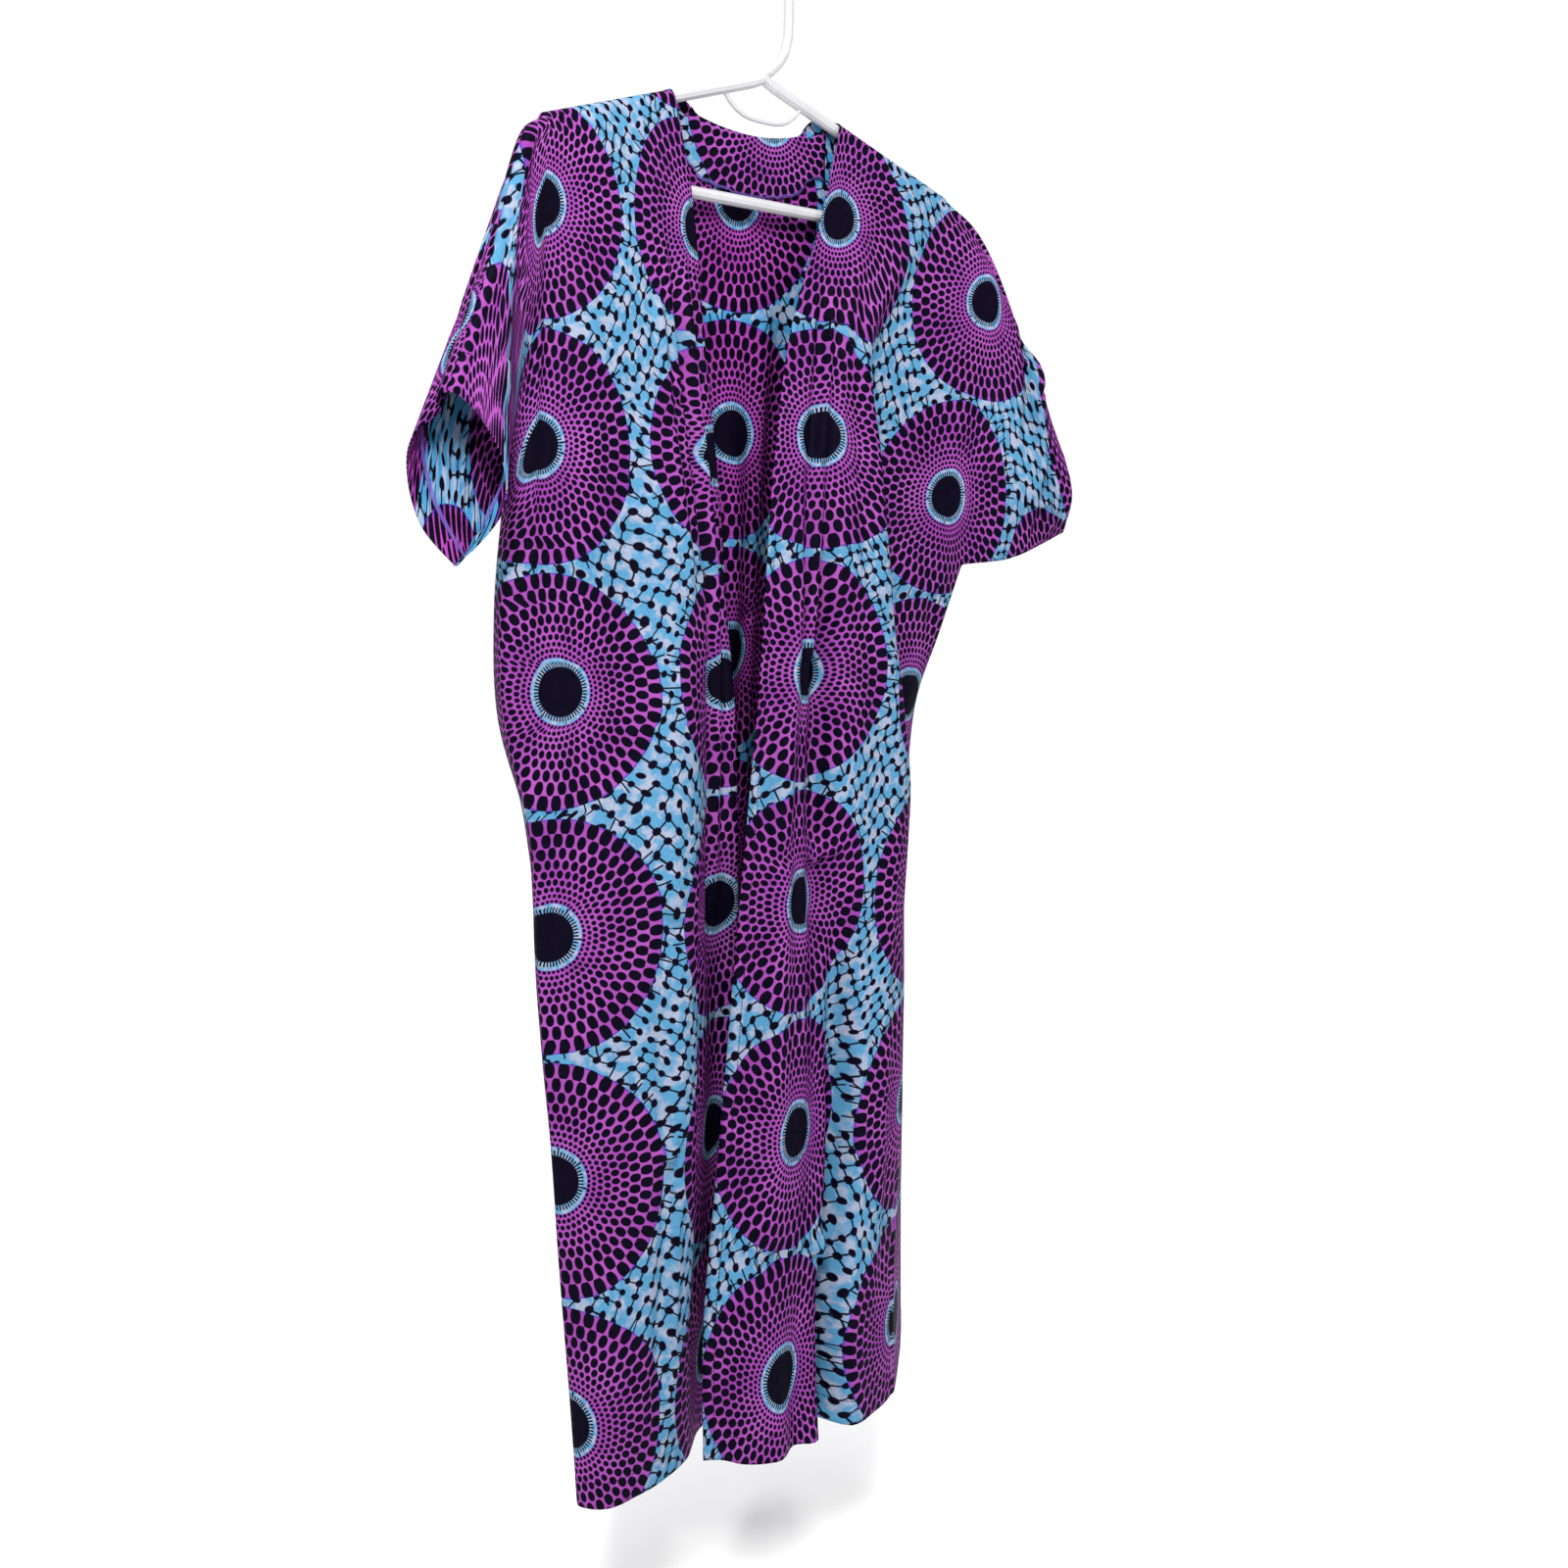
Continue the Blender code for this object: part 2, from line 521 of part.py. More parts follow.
def make_tube(name, points, radius, cyclic, collection, resolution=3):
    """A round tube along points, as a mesh with welded caps."""
    curve = bpy.data.curves.new(name, "CURVE")
    curve.dimensions = "3D"
    curve.bevel_depth = radius
    curve.bevel_resolution = resolution
    curve.use_fill_caps = not cyclic
    spline = curve.splines.new("POLY")
    spline.points.add(len(points) - 1)
    for knot, place in zip(spline.points, points):
        knot.co = (*place, 1.0)
    spline.use_cyclic_u = cyclic
    guide = bpy.data.objects.new(name + "_guide", curve)
    collection.objects.link(guide)
    bpy.context.view_layer.update()
    graph = bpy.context.evaluated_depsgraph_get()
    data = bpy.data.meshes.new_from_object(guide.evaluated_get(graph))
    bpy.data.objects.remove(guide, do_unlink=True)
    welded = bmesh.new()
    welded.from_mesh(data)
    bmesh.ops.remove_doubles(welded, verts=welded.verts, dist=0.00001)
    bmesh.ops.recalc_face_normals(welded, faces=welded.faces)
    welded.to_mesh(data)
    welded.free()
    item = bpy.data.objects.new(name, data)
    collection.objects.link(item)
    return item


def frame_path():
    """The arms, the rounded ends and the bottom bar as one closed line."""
    end_z = arm_height(ARM_END_X)
    end_radius = (end_z - BAR_Z) / 2
    half = [Vector((0.0, 0.0, APEX_Z + 0.0010))]
    half += [Vector((x, 0.0, arm_height(x))) for x in (0.012, 0.060, 0.120, ARM_END_X - 0.006)]
    for k in range(END_STEPS):
        angle = math.pi * (k + 0.5) / END_STEPS
        x = ARM_END_X - 0.004 + end_radius * 0.80 * math.sin(angle)
        half.append(Vector((x, 0.0, BAR_Z + end_radius * (1.0 + math.cos(angle)))))
    half.append(Vector((0.120, 0.0, BAR_Z)))
    mirrored = [Vector((-p.x, 0.0, p.z)) for p in half[:0:-1]]
    return half + mirrored


def hook_path():
    """From inside the left arm, up through the bend and round the open hook."""
    radius = HOOK_INNER_RADIUS + HOOK_RADIUS
    lead = [Vector((x, 0.0, z)) for x, z in (
        (-0.020, -0.1069), (-0.004, -0.0990), (0.007, -0.0915), (0.0160, -0.0830),
        (0.0225, -0.0730), (0.0260, -0.0600), (0.0270, -0.0420))]
    arc = []
    for k in range(HOOK_STEPS + 1):
        angle = math.radians(HOOK_SWEEP * k / HOOK_STEPS - 10.0)
        height = radius * math.sin(angle) - HOOK_INNER_RADIUS
        arc.append(Vector((radius * math.cos(angle), 0.0, height)))
    return lead + arc


def loop_path():
    """The thin accessory loop that hangs under the apex between the arms."""
    points = []
    for k in range(LOOP_STEPS + 1):
        share = 2.0 * k / LOOP_STEPS - 1.0
        top = arm_height(LOOP_HALF_WIDTH) - 0.0010
        drop = (top - LOOP_BOTTOM_Z) * (1.0 - abs(share) ** LOOP_SQUARENESS)
        points.append(Vector((share * LOOP_HALF_WIDTH, 0.0, top - drop)))
    return points


def join_solids(base, others):
    """Unite other closed solids with the base and remove them."""
    for other in others:
        union = base.modifiers.new("unite", "BOOLEAN")
        union.operation = "UNION"
        union.object = other
        bpy.context.view_layer.update()
        graph = bpy.context.evaluated_depsgraph_get()
        data = bpy.data.meshes.new_from_object(base.evaluated_get(graph))
        base.modifiers.clear()
        base.data = data
        bpy.data.objects.remove(other, do_unlink=True)


def build_hanger(collection, plastic):
    hanger = make_tube("hanger", frame_path(), TUBE_RADIUS, True, collection)
    hook = make_tube("hook", hook_path(), HOOK_RADIUS, False, collection)
    loop = make_tube("loop", loop_path(), LOOP_WIRE_RADIUS, False, collection, 2)
    join_solids(hanger, (hook, loop))
    hanger.data.materials.clear()
    hanger.data.materials.append(plastic)
    hanger.data.shade_smooth()


def build_facing(collection, cloth, grid):
    """The neck facing lies on the inside of the back, from its neck edge down."""
    top = grid[0]
    low = NECK_LEFT_X + FACING_INSET
    high = NECK_RIGHT_X - FACING_INSET
    inside = [k for k, p in enumerate(top) if low < p.x < high]
    lines = []
    for k in inside:
        line = [grid[r][k] for r in range(FACING_ROWS + 1)]
        climbs = line[0].z > arm_height(line[0].x) - NECK_DEPTH_Y
        start = 2.0 if climbs else 0.0
        end = 3.0
        while line_through(line, range(FACING_ROWS + 1), end).z > line[0].z - FACING_DEPTH:
            end += 0.02
        places = [start + (end - start) * j / FACING_ROWS for j in range(FACING_ROWS + 1)]
        lines.append([line_through(line, range(FACING_ROWS + 1), at) for at in places])
    strip = []
    for r in range(FACING_ROWS + 1):
        row = []
        for k, line in enumerate(lines):
            after = lines[min(k + 1, len(lines) - 1)][r]
            run = after - lines[max(k - 1, 0)][r]
            fall = line[min(r + 1, FACING_ROWS)] - line[max(r - 1, 0)]
            inward = fall.cross(run).normalized()
            if inward.y > 0.0:
                inward.negate()
            row.append(line[r] + inward * (CLOTH + FACING_GAP))
        strip.append(row)
    make_wall("neck_facing", loft_sheet("neck_facing", strip, 1, False), cloth, collection, 1)


def build():
    clear_scene()
    robe = make_collection("wax_print_robe")
    plastic = make_material("white_plastic", (0.86, 0.86, 0.87), 0.25)
    cloth = make_material("wax_print_cotton", (0.42, 0.13, 0.45), 0.75)
    build_hanger(robe, plastic)
    right = sheet_grid(front_rows(1, RIGHT_FRONT_ROWS, RIGHT_SLEEVE_FRONT), RIGHT_STATIONS,
                       RIGHT_STEPS, RIGHT_SHOULDER, (6,), -1, RIGHT_FRONT_FOLDS)
    make_wall("front_right", loft_sheet("front_right", right, -1), cloth, robe, -1)
    left = sheet_grid(front_rows(-1, LEFT_FRONT_ROWS, LEFT_SLEEVE_FRONT), LEFT_STATIONS,
                      LEFT_STEPS, LEFT_SHOULDER, (6,), -1, LEFT_FRONT_FOLDS)
    make_wall("front_left", loft_sheet("front_left", left, -1), cloth, robe, -1)
    back = sheet_grid(back_rows(), BACK_STATIONS, BACK_STEPS, BACK_SHOULDER, BACK_SIDES, 1,
                      BACK_FOLDS)
    make_wall("back", loft_sheet("back", back, 1), cloth, robe, 1)
    build_facing(robe, cloth, back)


build()
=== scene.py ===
import math

import bmesh
import bpy
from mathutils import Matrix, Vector, noise


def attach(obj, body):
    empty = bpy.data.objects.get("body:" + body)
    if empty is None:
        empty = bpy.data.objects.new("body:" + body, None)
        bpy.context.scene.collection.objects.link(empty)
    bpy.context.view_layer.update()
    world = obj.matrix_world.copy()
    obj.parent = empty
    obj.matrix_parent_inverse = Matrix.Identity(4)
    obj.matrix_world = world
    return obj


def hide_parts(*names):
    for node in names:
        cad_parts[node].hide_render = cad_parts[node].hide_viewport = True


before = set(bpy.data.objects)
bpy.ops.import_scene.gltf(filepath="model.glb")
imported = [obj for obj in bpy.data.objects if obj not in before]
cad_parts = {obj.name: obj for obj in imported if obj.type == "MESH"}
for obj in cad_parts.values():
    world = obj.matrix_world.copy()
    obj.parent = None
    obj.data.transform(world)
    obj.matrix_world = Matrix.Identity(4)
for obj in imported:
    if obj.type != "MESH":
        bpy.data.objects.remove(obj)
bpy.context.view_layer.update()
print("frame loaded")

# Open-front wax print robe on a white tubular hanger. Metres, z up, origin at the hook's inner top.
# Stations run across the cloth, "down" runs from the shoulder seam to the hem.

hangerSizes = {
    "tubeRadius": 0.0049,
    "clearance": 0.0010,
    "apexZ": -0.1000,
    "armSlope": 0.3450,
}
armRadius = hangerSizes["tubeRadius"] + hangerSizes["clearance"]

robe = {
    "wall": 0.0014,            # the solid's wall; the thin cloth lies in its middle
    "clothThickness": 0.0005,
    "seamFade": 0.0100,        # towards a seam the cloth sinks to the seam line over this width
    "cell": 0.0043,            # mesh size
    "neckLeftX": -0.0930,
    "neckRightX": 0.0780,
    "neckDipZ": -0.1440,
    "neckDepthY": 0.0085,
    "neckClimbFrom": 0.75,
    "neckHeldFrom": 0.60,
    "neckHeldOver": 0.20,
    "sleeveSwing": math.radians(24.0),
    "swingFrom": 0.1960,
    "swingTo": 0.2240,
    "leftMouthSwell": 0.16,
    "wrapDown": 0.0092,
    "wrapTurn": 95.0,
    "wrapFade": 0.0204,
    "marks": (0.0, 0.0046, 0.0092, 0.050, 0.145, 0.235, 0.315, 0.385, 0.455, 0.530,
              0.650, 0.800, 0.910, 1.013),  # distances down to the tables' rows
    "underarm": 6,             # the underarm's place among them
    "leftHeights": (-0.200, -0.290, -0.370, -0.440, -0.520, -0.600, -0.680,
                    -0.800, -0.950, -1.060, -1.163),
    "rightHeights": (-0.200, -0.300, -0.400, -0.490, -0.550, -0.610, -0.680,
                     -0.800, -0.950, -1.060, -1.163),
    "overarmFrom": 0.1800,
    "leftOverarm": ((0.204, -0.168), (0.224, -0.186), (0.262, -0.284), (0.305, -0.376)),
    "rightOverarm": ((0.204, -0.166), (0.244, -0.202), (0.283, -0.296), (0.297, -0.362)),
    "foldFadeTop": 0.1800,
    "foldFadeBottom": 0.1000,
    "hem": 0.0200,
    "edgeTurn": 0.0100,        # turned in at the front edges and the neck
    "seamHalf": 0.00015,
    "slopeProbe": 0.002,
    "breakFrom": 0.0300,       # above the underarm the cloth parts into body and sleeve
    "breakOver": {1: 0.030, 0: 0.030, -1: 0.020},
    "neckPast": 0.0040,
    "foldStop": 0.0020,        # the solids' folds stop this far from the side seams
    "creaseDepth": 1.35,
    "creaseEnds": 5.0,         # a crease fades over a fifth of its length at each end
    "creaseFade": 0.0300,
    "creaseFrom": 0.0120,
    "creaseOver": 0.0600,
    "wrinkleDraw": 0.45,       # wrinkles are drawn out down the cloth
}

underarmDown = robe["marks"][robe["underarm"]]
tiny = 1e-6
away = 1.0                     # stands for no edge or seam nearby

def metres(table):
    # a table in millimetres, turned into metres
    if isinstance(table, tuple):
        return tuple(metres(part) for part in table)
    return table / 1000.0


# Each front: stations from the front edge outwards; in millimetres, plan points (x, y) per
# level and the sleeve's places (along the overarm line, offset to the back, height). Folds are
# (station at top, station at hem, top, bottom, depth, half width).
rightFront = {
    "side": 1,
    "facing": -1,
    "stations": (-0.060, 0.000, 0.060, 0.100, 0.130, 0.185, 0.225, 0.280, 0.340),
    "shoulder": (0.0780, 0.088, 0.128, 0.165, 0.199, 0.244, 0.263, 0.284, 0.297),
    "sides": (6,),
    "rows": metres((
        ((56, -8), (71, -9), (128, -10), (160, -11), (196, -10)),
        ((21, -10), (57, -14), (78, -22), (95, -26), (122, -10)),
        ((1, -14), (42, -20), (72, -27), (100, -31), (100, -9)),
        ((-12, -20), (30, -28), (70, -34), (106, -35), (104, -8)),
        ((-18, -22), (24, -30), (67, -37), (111, -36), (109, -9), (167, -5), (200, 0)),
        ((-26, -25), (17, -34), (64, -42), (119, -38), (119, -11), (157, -4), (175, 4)),
        ((-37, -28), (10, -38), (62, -46), (122, -41), (130, -22), (146, -10), (172, 12)),
        ((-54, -32), (1, -45), (52, -55), (98, -53), (117, -40), (131, -24), (168, 16)),
        ((-74, -36), (-13, -55), (40, -68), (80, -63), (98, -55), (114, -40), (165, 12)),
        ((-88, -39), (-32, -64), (20, -76), (62, -69), (80, -63), (97, -52), (162, 10)),
        ((-88, -39), (-40, -70), (17, -78), (60, -70), (80, -62), (97, -51), (160, 8)),
    )),
    "sleeve": metres((
        ((246, -11, -236), (265, -13, -268), (286, -16, -312), (302, -20, -378)),
        ((228, -13, -322), (257, -18, -338), (287, -24, -362), (311, -30, -402)),
        ((198, -14, -425), (235, -14, -425), (281, -24, -425), (318, -27, -431)),
        ((182, -10, -498), (223, 0, -491), (274, 0, -484), (322, 0, -461)),
    )),
    "folds": (
        (-0.024, -0.026, -0.360, -1.260, 0.007, 0.022),
        (0.020, 0.018, -0.340, -1.260, -0.010, 0.022),
        (0.047, 0.058, -0.700, -1.300, -0.026, 0.017),
    ),
    # The print by height: its place at the front edge, the station of the next discs' centres,
    # what the pinched fold takes up and how much lower the near discs sit. By station: extra
    # cloth gathered in the sleeve, and how far the print has drooped towards the mouth. The
    # side print is the side seam's station and its place on the print.
    "edgePrint": ((-0.20, -0.020), (-0.41, -0.047), (-0.58, -0.050), (-0.75, -0.063),
                  (-0.93, -0.080), (-1.16, -0.084)),
    "farStation": ((-1.16, 0.185), (-0.20, 0.185)),
    "takenUp": ((-1.16, 0.016), (-1.05, 0.019), (-0.95, 0.026), (-0.76, 0.012), (-0.60, 0.0)),
    "gathered": ((0.225, 0.0), (0.340, 0.035)),
    "sunk": ((-0.755, 0.0), (-0.577, -0.0040), (-0.385, -0.0215), (-0.202, -0.0296)),
    "sidePrint": (0.225, 0.2285),
    "droop": ((0.05, 0.0), (0.185, 0.024), (0.235, 0.046), (0.340, 0.160)),
    "flat": (0.430, 1.020),
}

leftFront = {
    "side": -1,
    "facing": -1,
    "stations": (-0.020, 0.020, 0.075, 0.130, 0.185, 0.222, 0.240, 0.295, 0.355),
    "shoulder": (-0.0930, -0.108, -0.135, -0.168, -0.199, -0.211, -0.224, -0.262, -0.305),
    "sides": (6,),
    "rows": metres((
        ((-78, -8), (-98, -10), (-130, -12), (-168, -12), (-200, -10), (-212.5, -10.5)),
        ((-69, -10), (-90, -14), (-125, -20), (-172, -22), (-206, -13), (-219.5, -21)),
        ((-61, -12), (-82, -18), (-120, -28), (-167, -27), (-211, -22), (-230.5, -25)),
        ((-55, -13), (-75, -21), (-115, -36), (-162, -30), (-213, -24), (-235, -23)),
        ((-49, -14), (-69, -22), (-110, -45), (-158, -34), (-209, -24), (-243, -20), (-240, 3)),
        ((-40, -14), (-64, -18), (-110, -51), (-155, -38), (-206, -24), (-240, -18), (-233, 11)),
        ((-36, -12), (-62, -13), (-110, -54), (-155, -42), (-205, -22), (-220, -14), (-207, 17)),
        ((-30, -6), (-58, -7), (-112, -55), (-155, -46), (-203, -20), (-211, -8), (-187, 29)),
        ((-24, -4), (-58, -5), (-112, -54), (-150, -52), (-198, -22), (-193, -4), (-165, 37)),
        ((-24, -4), (-60, -3), (-110, -44), (-150, -50), (-192, -26), (-184, -5), (-155, 39)),
        ((-24, -4), (-62, -1), (-100, -31), (-150, -43), (-187, -30), (-176, -7), (-147, 39)),
    )),
    "sleeve": metres((
        ((223, -6, -216), (262, -15, -306), (299, -21, -392)),
        ((242, -17, -315), (262, -20, -352), (291, -34, -424)),
        ((245, -11, -385), (262, -18, -408), (287, -29, -458)),
        ((238, 5, -440), (268, 0, -472), (297, 0, -491)),
    )),
    "folds": (
        (0.120, 0.130, -0.300, -0.720, -0.006, 0.035),
        (0.150, 0.160, -0.620, -1.260, 0.004, 0.030),
        (0.030, 0.035, -0.180, -0.560, -0.005, 0.018),
    ),
    "edgePrint": ((-0.20, 0.005), (-0.30, 0.000), (-0.50, -0.003), (-0.58, -0.012),
                  (-0.68, -0.015), (-0.80, -0.025), (-0.95, -0.037), (-1.16, -0.043)),
    "farStation": ((-1.16, 0.200), (-0.93, 0.198), (-0.76, 0.193), (-0.58, 0.181),
                   (-0.41, 0.197), (-0.20, 0.202)),
    "gathered": ((0.24, 0.0), (0.355, -0.062)),
    "sidePrint": (0.240, 0.2260),
    "droop": ((0.200, 0.0), (0.240, 0.024), (0.298, 0.110), (0.355, 0.195)),
    "flat": (0.400, 1.020),
}

backPanel = {
    "side": 0,
    "facing": 1,
    "stations": (-0.355, -0.295, -0.240, -0.215, -0.195, -0.090, 0.000, 0.090, 0.155,
                 0.195, 0.225, 0.280, 0.340),
    "shoulder": (-0.305, -0.262, -0.224, -0.211, -0.199, -0.0930, -0.003, 0.0780,
                 0.199, 0.244, 0.263, 0.284, 0.297),
    "sides": (2, 10),
    "rows": metres((
        ((-214, 3), (-206, 9), (-90, 11), (0, 12), (85, 11), (201, 9.5)),
        ((-222, 9), (-212, 12), (-88, 17), (0, 19), (84, 17), (196, 12)),
        ((-219, 11), (-208, 15), (-86, 23), (0, 26), (82, 23), (178, 15)),
        ((-222, 8), (-204, 17), (-84, 29), (0, 32), (80, 28), (156, 18)),
        ((-220, 17), (-196, 24), (-83, 34), (0, 37), (78, 33), (146, 21), (175, 12)),
        ((-214, 23), (-190, 30), (-82, 40), (0, 43), (78, 38), (136, 27), (160, 17)),
        ((-194, 29), (-174, 36), (-80, 46), (0, 49), (78, 44), (132, 33), (155, 23)),
        ((-171, 40), (-154, 45), (-78, 55), (0, 58), (76, 53), (129, 40), (152, 29)),
        ((-149, 47), (-135, 53), (-75, 64), (0, 67), (72, 61), (125, 44), (148, 30)),
        ((-139, 50), (-125, 56), (-70, 68), (0, 71), (70, 64), (121, 45), (144, 30)),
        ((-131, 50), (-118, 57), (-70, 69), (0, 73), (70, 66), (119, 45), (142, 29)),
    )),
    "leftSleeve": metres((
        ((226, 11, -216), (262, 23, -312), (302, 28, -400)),
        ((228, 15, -292), (263, 32, -356), (303, 35, -428)),
        ((228, 14, -368), (262, 26, -408), (300, 26, -464)),
        ((238, 5, -440), (268, 0, -472), (297, 0, -491)),
    )),
    "rightSleeve": metres((
        ((246, 7, -234), (265, 8, -268), (286, 12, -312), (300, 16, -378)),
        ((228, 11, -322), (255, 12, -338), (286, 18, -362), (306, 24, -402)),
        ((206, 11, -423), (238, 10, -424), (281, 16, -426), (313, 22, -434)),
        ((190, 10, -496), (223, 0, -491), (274, 0, -484), (322, 0, -461)),
    )),
    "folds": (
        (-0.205, -0.200, -0.400, -1.300, 0.008, 0.035),
        (-0.150, -0.150, -0.260, -1.300, -0.016, 0.034),
        (-0.085, -0.090, -0.220, -1.260, 0.012, 0.034),
        (-0.020, -0.015, -0.300, -1.300, -0.018, 0.034),
        (0.048, 0.055, -0.220, -1.300, 0.013, 0.034),
        (0.115, 0.120, -0.320, -1.260, -0.016, 0.034),
        (0.180, 0.185, -0.400, -1.300, 0.008, 0.030),
    ),
    # height of the print's rows against the height of the cloth
    "printHeights": ((-0.100, -0.1460), (-0.194, -0.2320), (-0.385, -0.4065), (-1.163, -1.1845)),
    "printCentre": -0.018,
    "droop": ((-0.355, 0.195), (-0.298, 0.110), (-0.240, 0.024), (-0.200, 0.0),
              (0.195, 0.0), (0.235, 0.024), (0.340, 0.140)),
    "flat": (0.720, 1.030),
}


def curveThrough(points, marks, at):
    last = len(points) - 1
    index = 0
    while index < last - 1 and at > marks[index + 1]:
        index += 1
    span = marks[index + 1] - marks[index]
    t = (at - marks[index]) / span

    def slope(i):
        low = max(i - 1, 0)
        high = min(i + 1, last)
        return (points[high] - points[low]) / (marks[high] - marks[low])

    bow = t * t * (3.0 - 2.0 * t)
    start = points[index] * (1.0 - bow) + slope(index) * (span * t * (1.0 - t) ** 2)
    end = points[index + 1] * bow - slope(index + 1) * (span * t * t * (1.0 - t))
    return start + end


def lineThrough(values, marks, at):
    index = 0
    while index < len(marks) - 2 and at > marks[index + 1]:
        index += 1
    share = (at - marks[index]) / (marks[index + 1] - marks[index])
    return values[index] + (values[index + 1] - values[index]) * share


def tableAt(table, at):
    rising = sorted(table)
    places = [place for place, _ in rising]
    values = [value for _, value in rising]
    return lineThrough(values, places, min(max(at, places[0]), places[-1]))


def smoothStep(value):
    value = min(max(value, 0.0), 1.0)
    return value * value * (3.0 - 2.0 * value)


def swing(side, along, back):
    # plan point of a place along the overarm line, offset to the back of it
    start, stop, angle = robe["swingFrom"], robe["swingTo"], robe["sleeveSwing"]
    turnRadius = (stop - start) / angle
    turned = min(max((along - start) / (stop - start), 0.0), 1.0) * angle
    rest = max(along - stop, 0.0)
    x = min(along, start) + turnRadius * math.sin(turned) + rest * math.cos(turned)
    y = -turnRadius * (1.0 - math.cos(turned)) - rest * math.sin(turned)
    return side * (x + back * math.sin(turned)), y + back * math.cos(turned)


def sleevePoint(side, place):
    along, back, height = place
    x, y = swing(side, along, back)
    return Vector((x, y, height))


def armHeight(x):
    return hangerSizes["apexZ"] - hangerSizes["armSlope"] * abs(x)


def overarmHeight(side, along):
    over = robe["leftOverarm"] if side < 0 else robe["rightOverarm"]
    if along <= over[0][0]:
        return armHeight(along) + armRadius
    places = [robe["overarmFrom"]] + [place for place, _ in over]
    heights = [armHeight(robe["overarmFrom"]) + armRadius] + [height for _, height in over]
    return curveThrough(heights, places, along)


def neckPoint(across, turn):
    # the back's neck edge; near its corners it climbs over the hanger's arm
    left, right = robe["neckLeftX"], robe["neckRightX"]
    middle = (left + right) / 2
    share = abs((across - middle) / ((right - left) / 2))
    radius = armRadius
    corner = armHeight(right if across > middle else left) + radius
    falling = math.radians(turn) * radius
    dip = robe["neckDipZ"]
    free = dip + (corner - dip) * share * share - falling
    climbFrom = robe["neckClimbFrom"]
    near = max(0.0, (share - climbFrom) / (1.0 - climbFrom))
    radius += (robe["neckDepthY"] - radius) * (1.0 - near)
    full = math.radians(robe["wrapTurn"])
    angle = full * (1.0 - near) + math.radians(turn)
    over = min(angle, full)
    held = armHeight(across) + radius * math.cos(over) - radius * (angle - over)
    shareHeld = smoothStep((share - robe["neckHeldFrom"]) / robe["neckHeldOver"])
    return Vector((across, radius * math.sin(over), free + (held - free) * shareHeld))


def wrapPoint(across, turn, facing, inNeck):
    # over the hanger's arm: turn is 0 at the shoulder seam, 95 at the arm's side
    if inNeck and robe["neckLeftX"] < across < robe["neckRightX"]:
        return neckPoint(across, turn)
    angle = math.radians(turn)
    side = -1 if across < 0 else 1
    along = abs(across)
    swell = robe["leftMouthSwell"] if side < 0 and facing > 0 else 0.0
    radius = armRadius
    radius += swell * max(0.0, along - robe["swingTo"])
    back = facing * max(radius * math.sin(angle), robe["seamHalf"])
    down = radius * (1.0 - math.cos(angle))
    probe = robe["slopeProbe"]
    slope = math.atan2(overarmHeight(side, along - probe) - overarmHeight(side, along + probe),
                       2.0 * probe)
    height = overarmHeight(side, along) - down * math.cos(slope)
    return sleevePoint(side, (along - down * math.sin(slope), back, height))


def panelColumns(panel):
    # the panel's knots, one list of points down each station
    wraps = [robe["wrapTurn"] * mark / robe["wrapDown"] for mark in robe["marks"][:3]]
    isBack = panel["side"] == 0
    rows = [[wrapPoint(x, turn, panel["facing"], isBack) for x in panel["shoulder"]]
            for turn in wraps]
    for level, plan in enumerate(panel["rows"]):
        if isBack:
            low, high = robe["leftHeights"][level], robe["rightHeights"][level]
            first, last = plan[0][0], plan[-1][0]
            row = [Vector((x, y, low + (high - low) * (x - first) / (last - first)))
                   for x, y in plan]
            if level < len(panel["leftSleeve"]):
                left = [sleevePoint(-1, place) for place in panel["leftSleeve"][level]]
                right = [sleevePoint(1, place) for place in panel["rightSleeve"][level]]
                row = left[::-1] + row + right
            else:
                leftX, leftY = leftFront["rows"][level][-1]
                rightX, rightY = rightFront["rows"][level][-1]
                row = [Vector((leftX, leftY, low))] + row + [Vector((rightX, rightY, high))]
                row = [None, None] + row + [None, None]
        else:
            key = "leftHeights" if panel["side"] < 0 else "rightHeights"
            row = [Vector((x, y, robe[key][level])) for x, y in plan]
            if level < len(panel["sleeve"]):
                row += [sleevePoint(panel["side"], place) for place in panel["sleeve"][level]]
            else:
                row += [None] * (len(panel["stations"]) - len(row))
        rows.append(row)
    count = len(panel["stations"])
    return [[row[c] for row in rows if row[c] is not None] for c in range(count)]


def spread(marks, size):
    # places along the marks no further apart than size, with every mark among them
    places = [marks[0]]
    for low, high in zip(marks, marks[1:]):
        count = max(2, math.ceil((high - low) / size))
        places += [low + (high - low) * (k + 1) / count for k in range(count)]
    return places


def foldOffset(folds, station, height):
    total = 0.0
    for topAt, hemAt, top, bottom, depth, width in folds:
        if bottom < height < top:
            centre = topAt + (hemAt - topAt) * (top - height) / (top - bottom)
            distance = abs(station - centre) / width
            if distance < 1.0:
                fade = smoothStep((top - height) / robe["foldFadeTop"])
                fade *= smoothStep((height - bottom) / robe["foldFadeBottom"])
                total += depth * fade * (0.5 + 0.5 * math.cos(math.pi * distance))
    return total


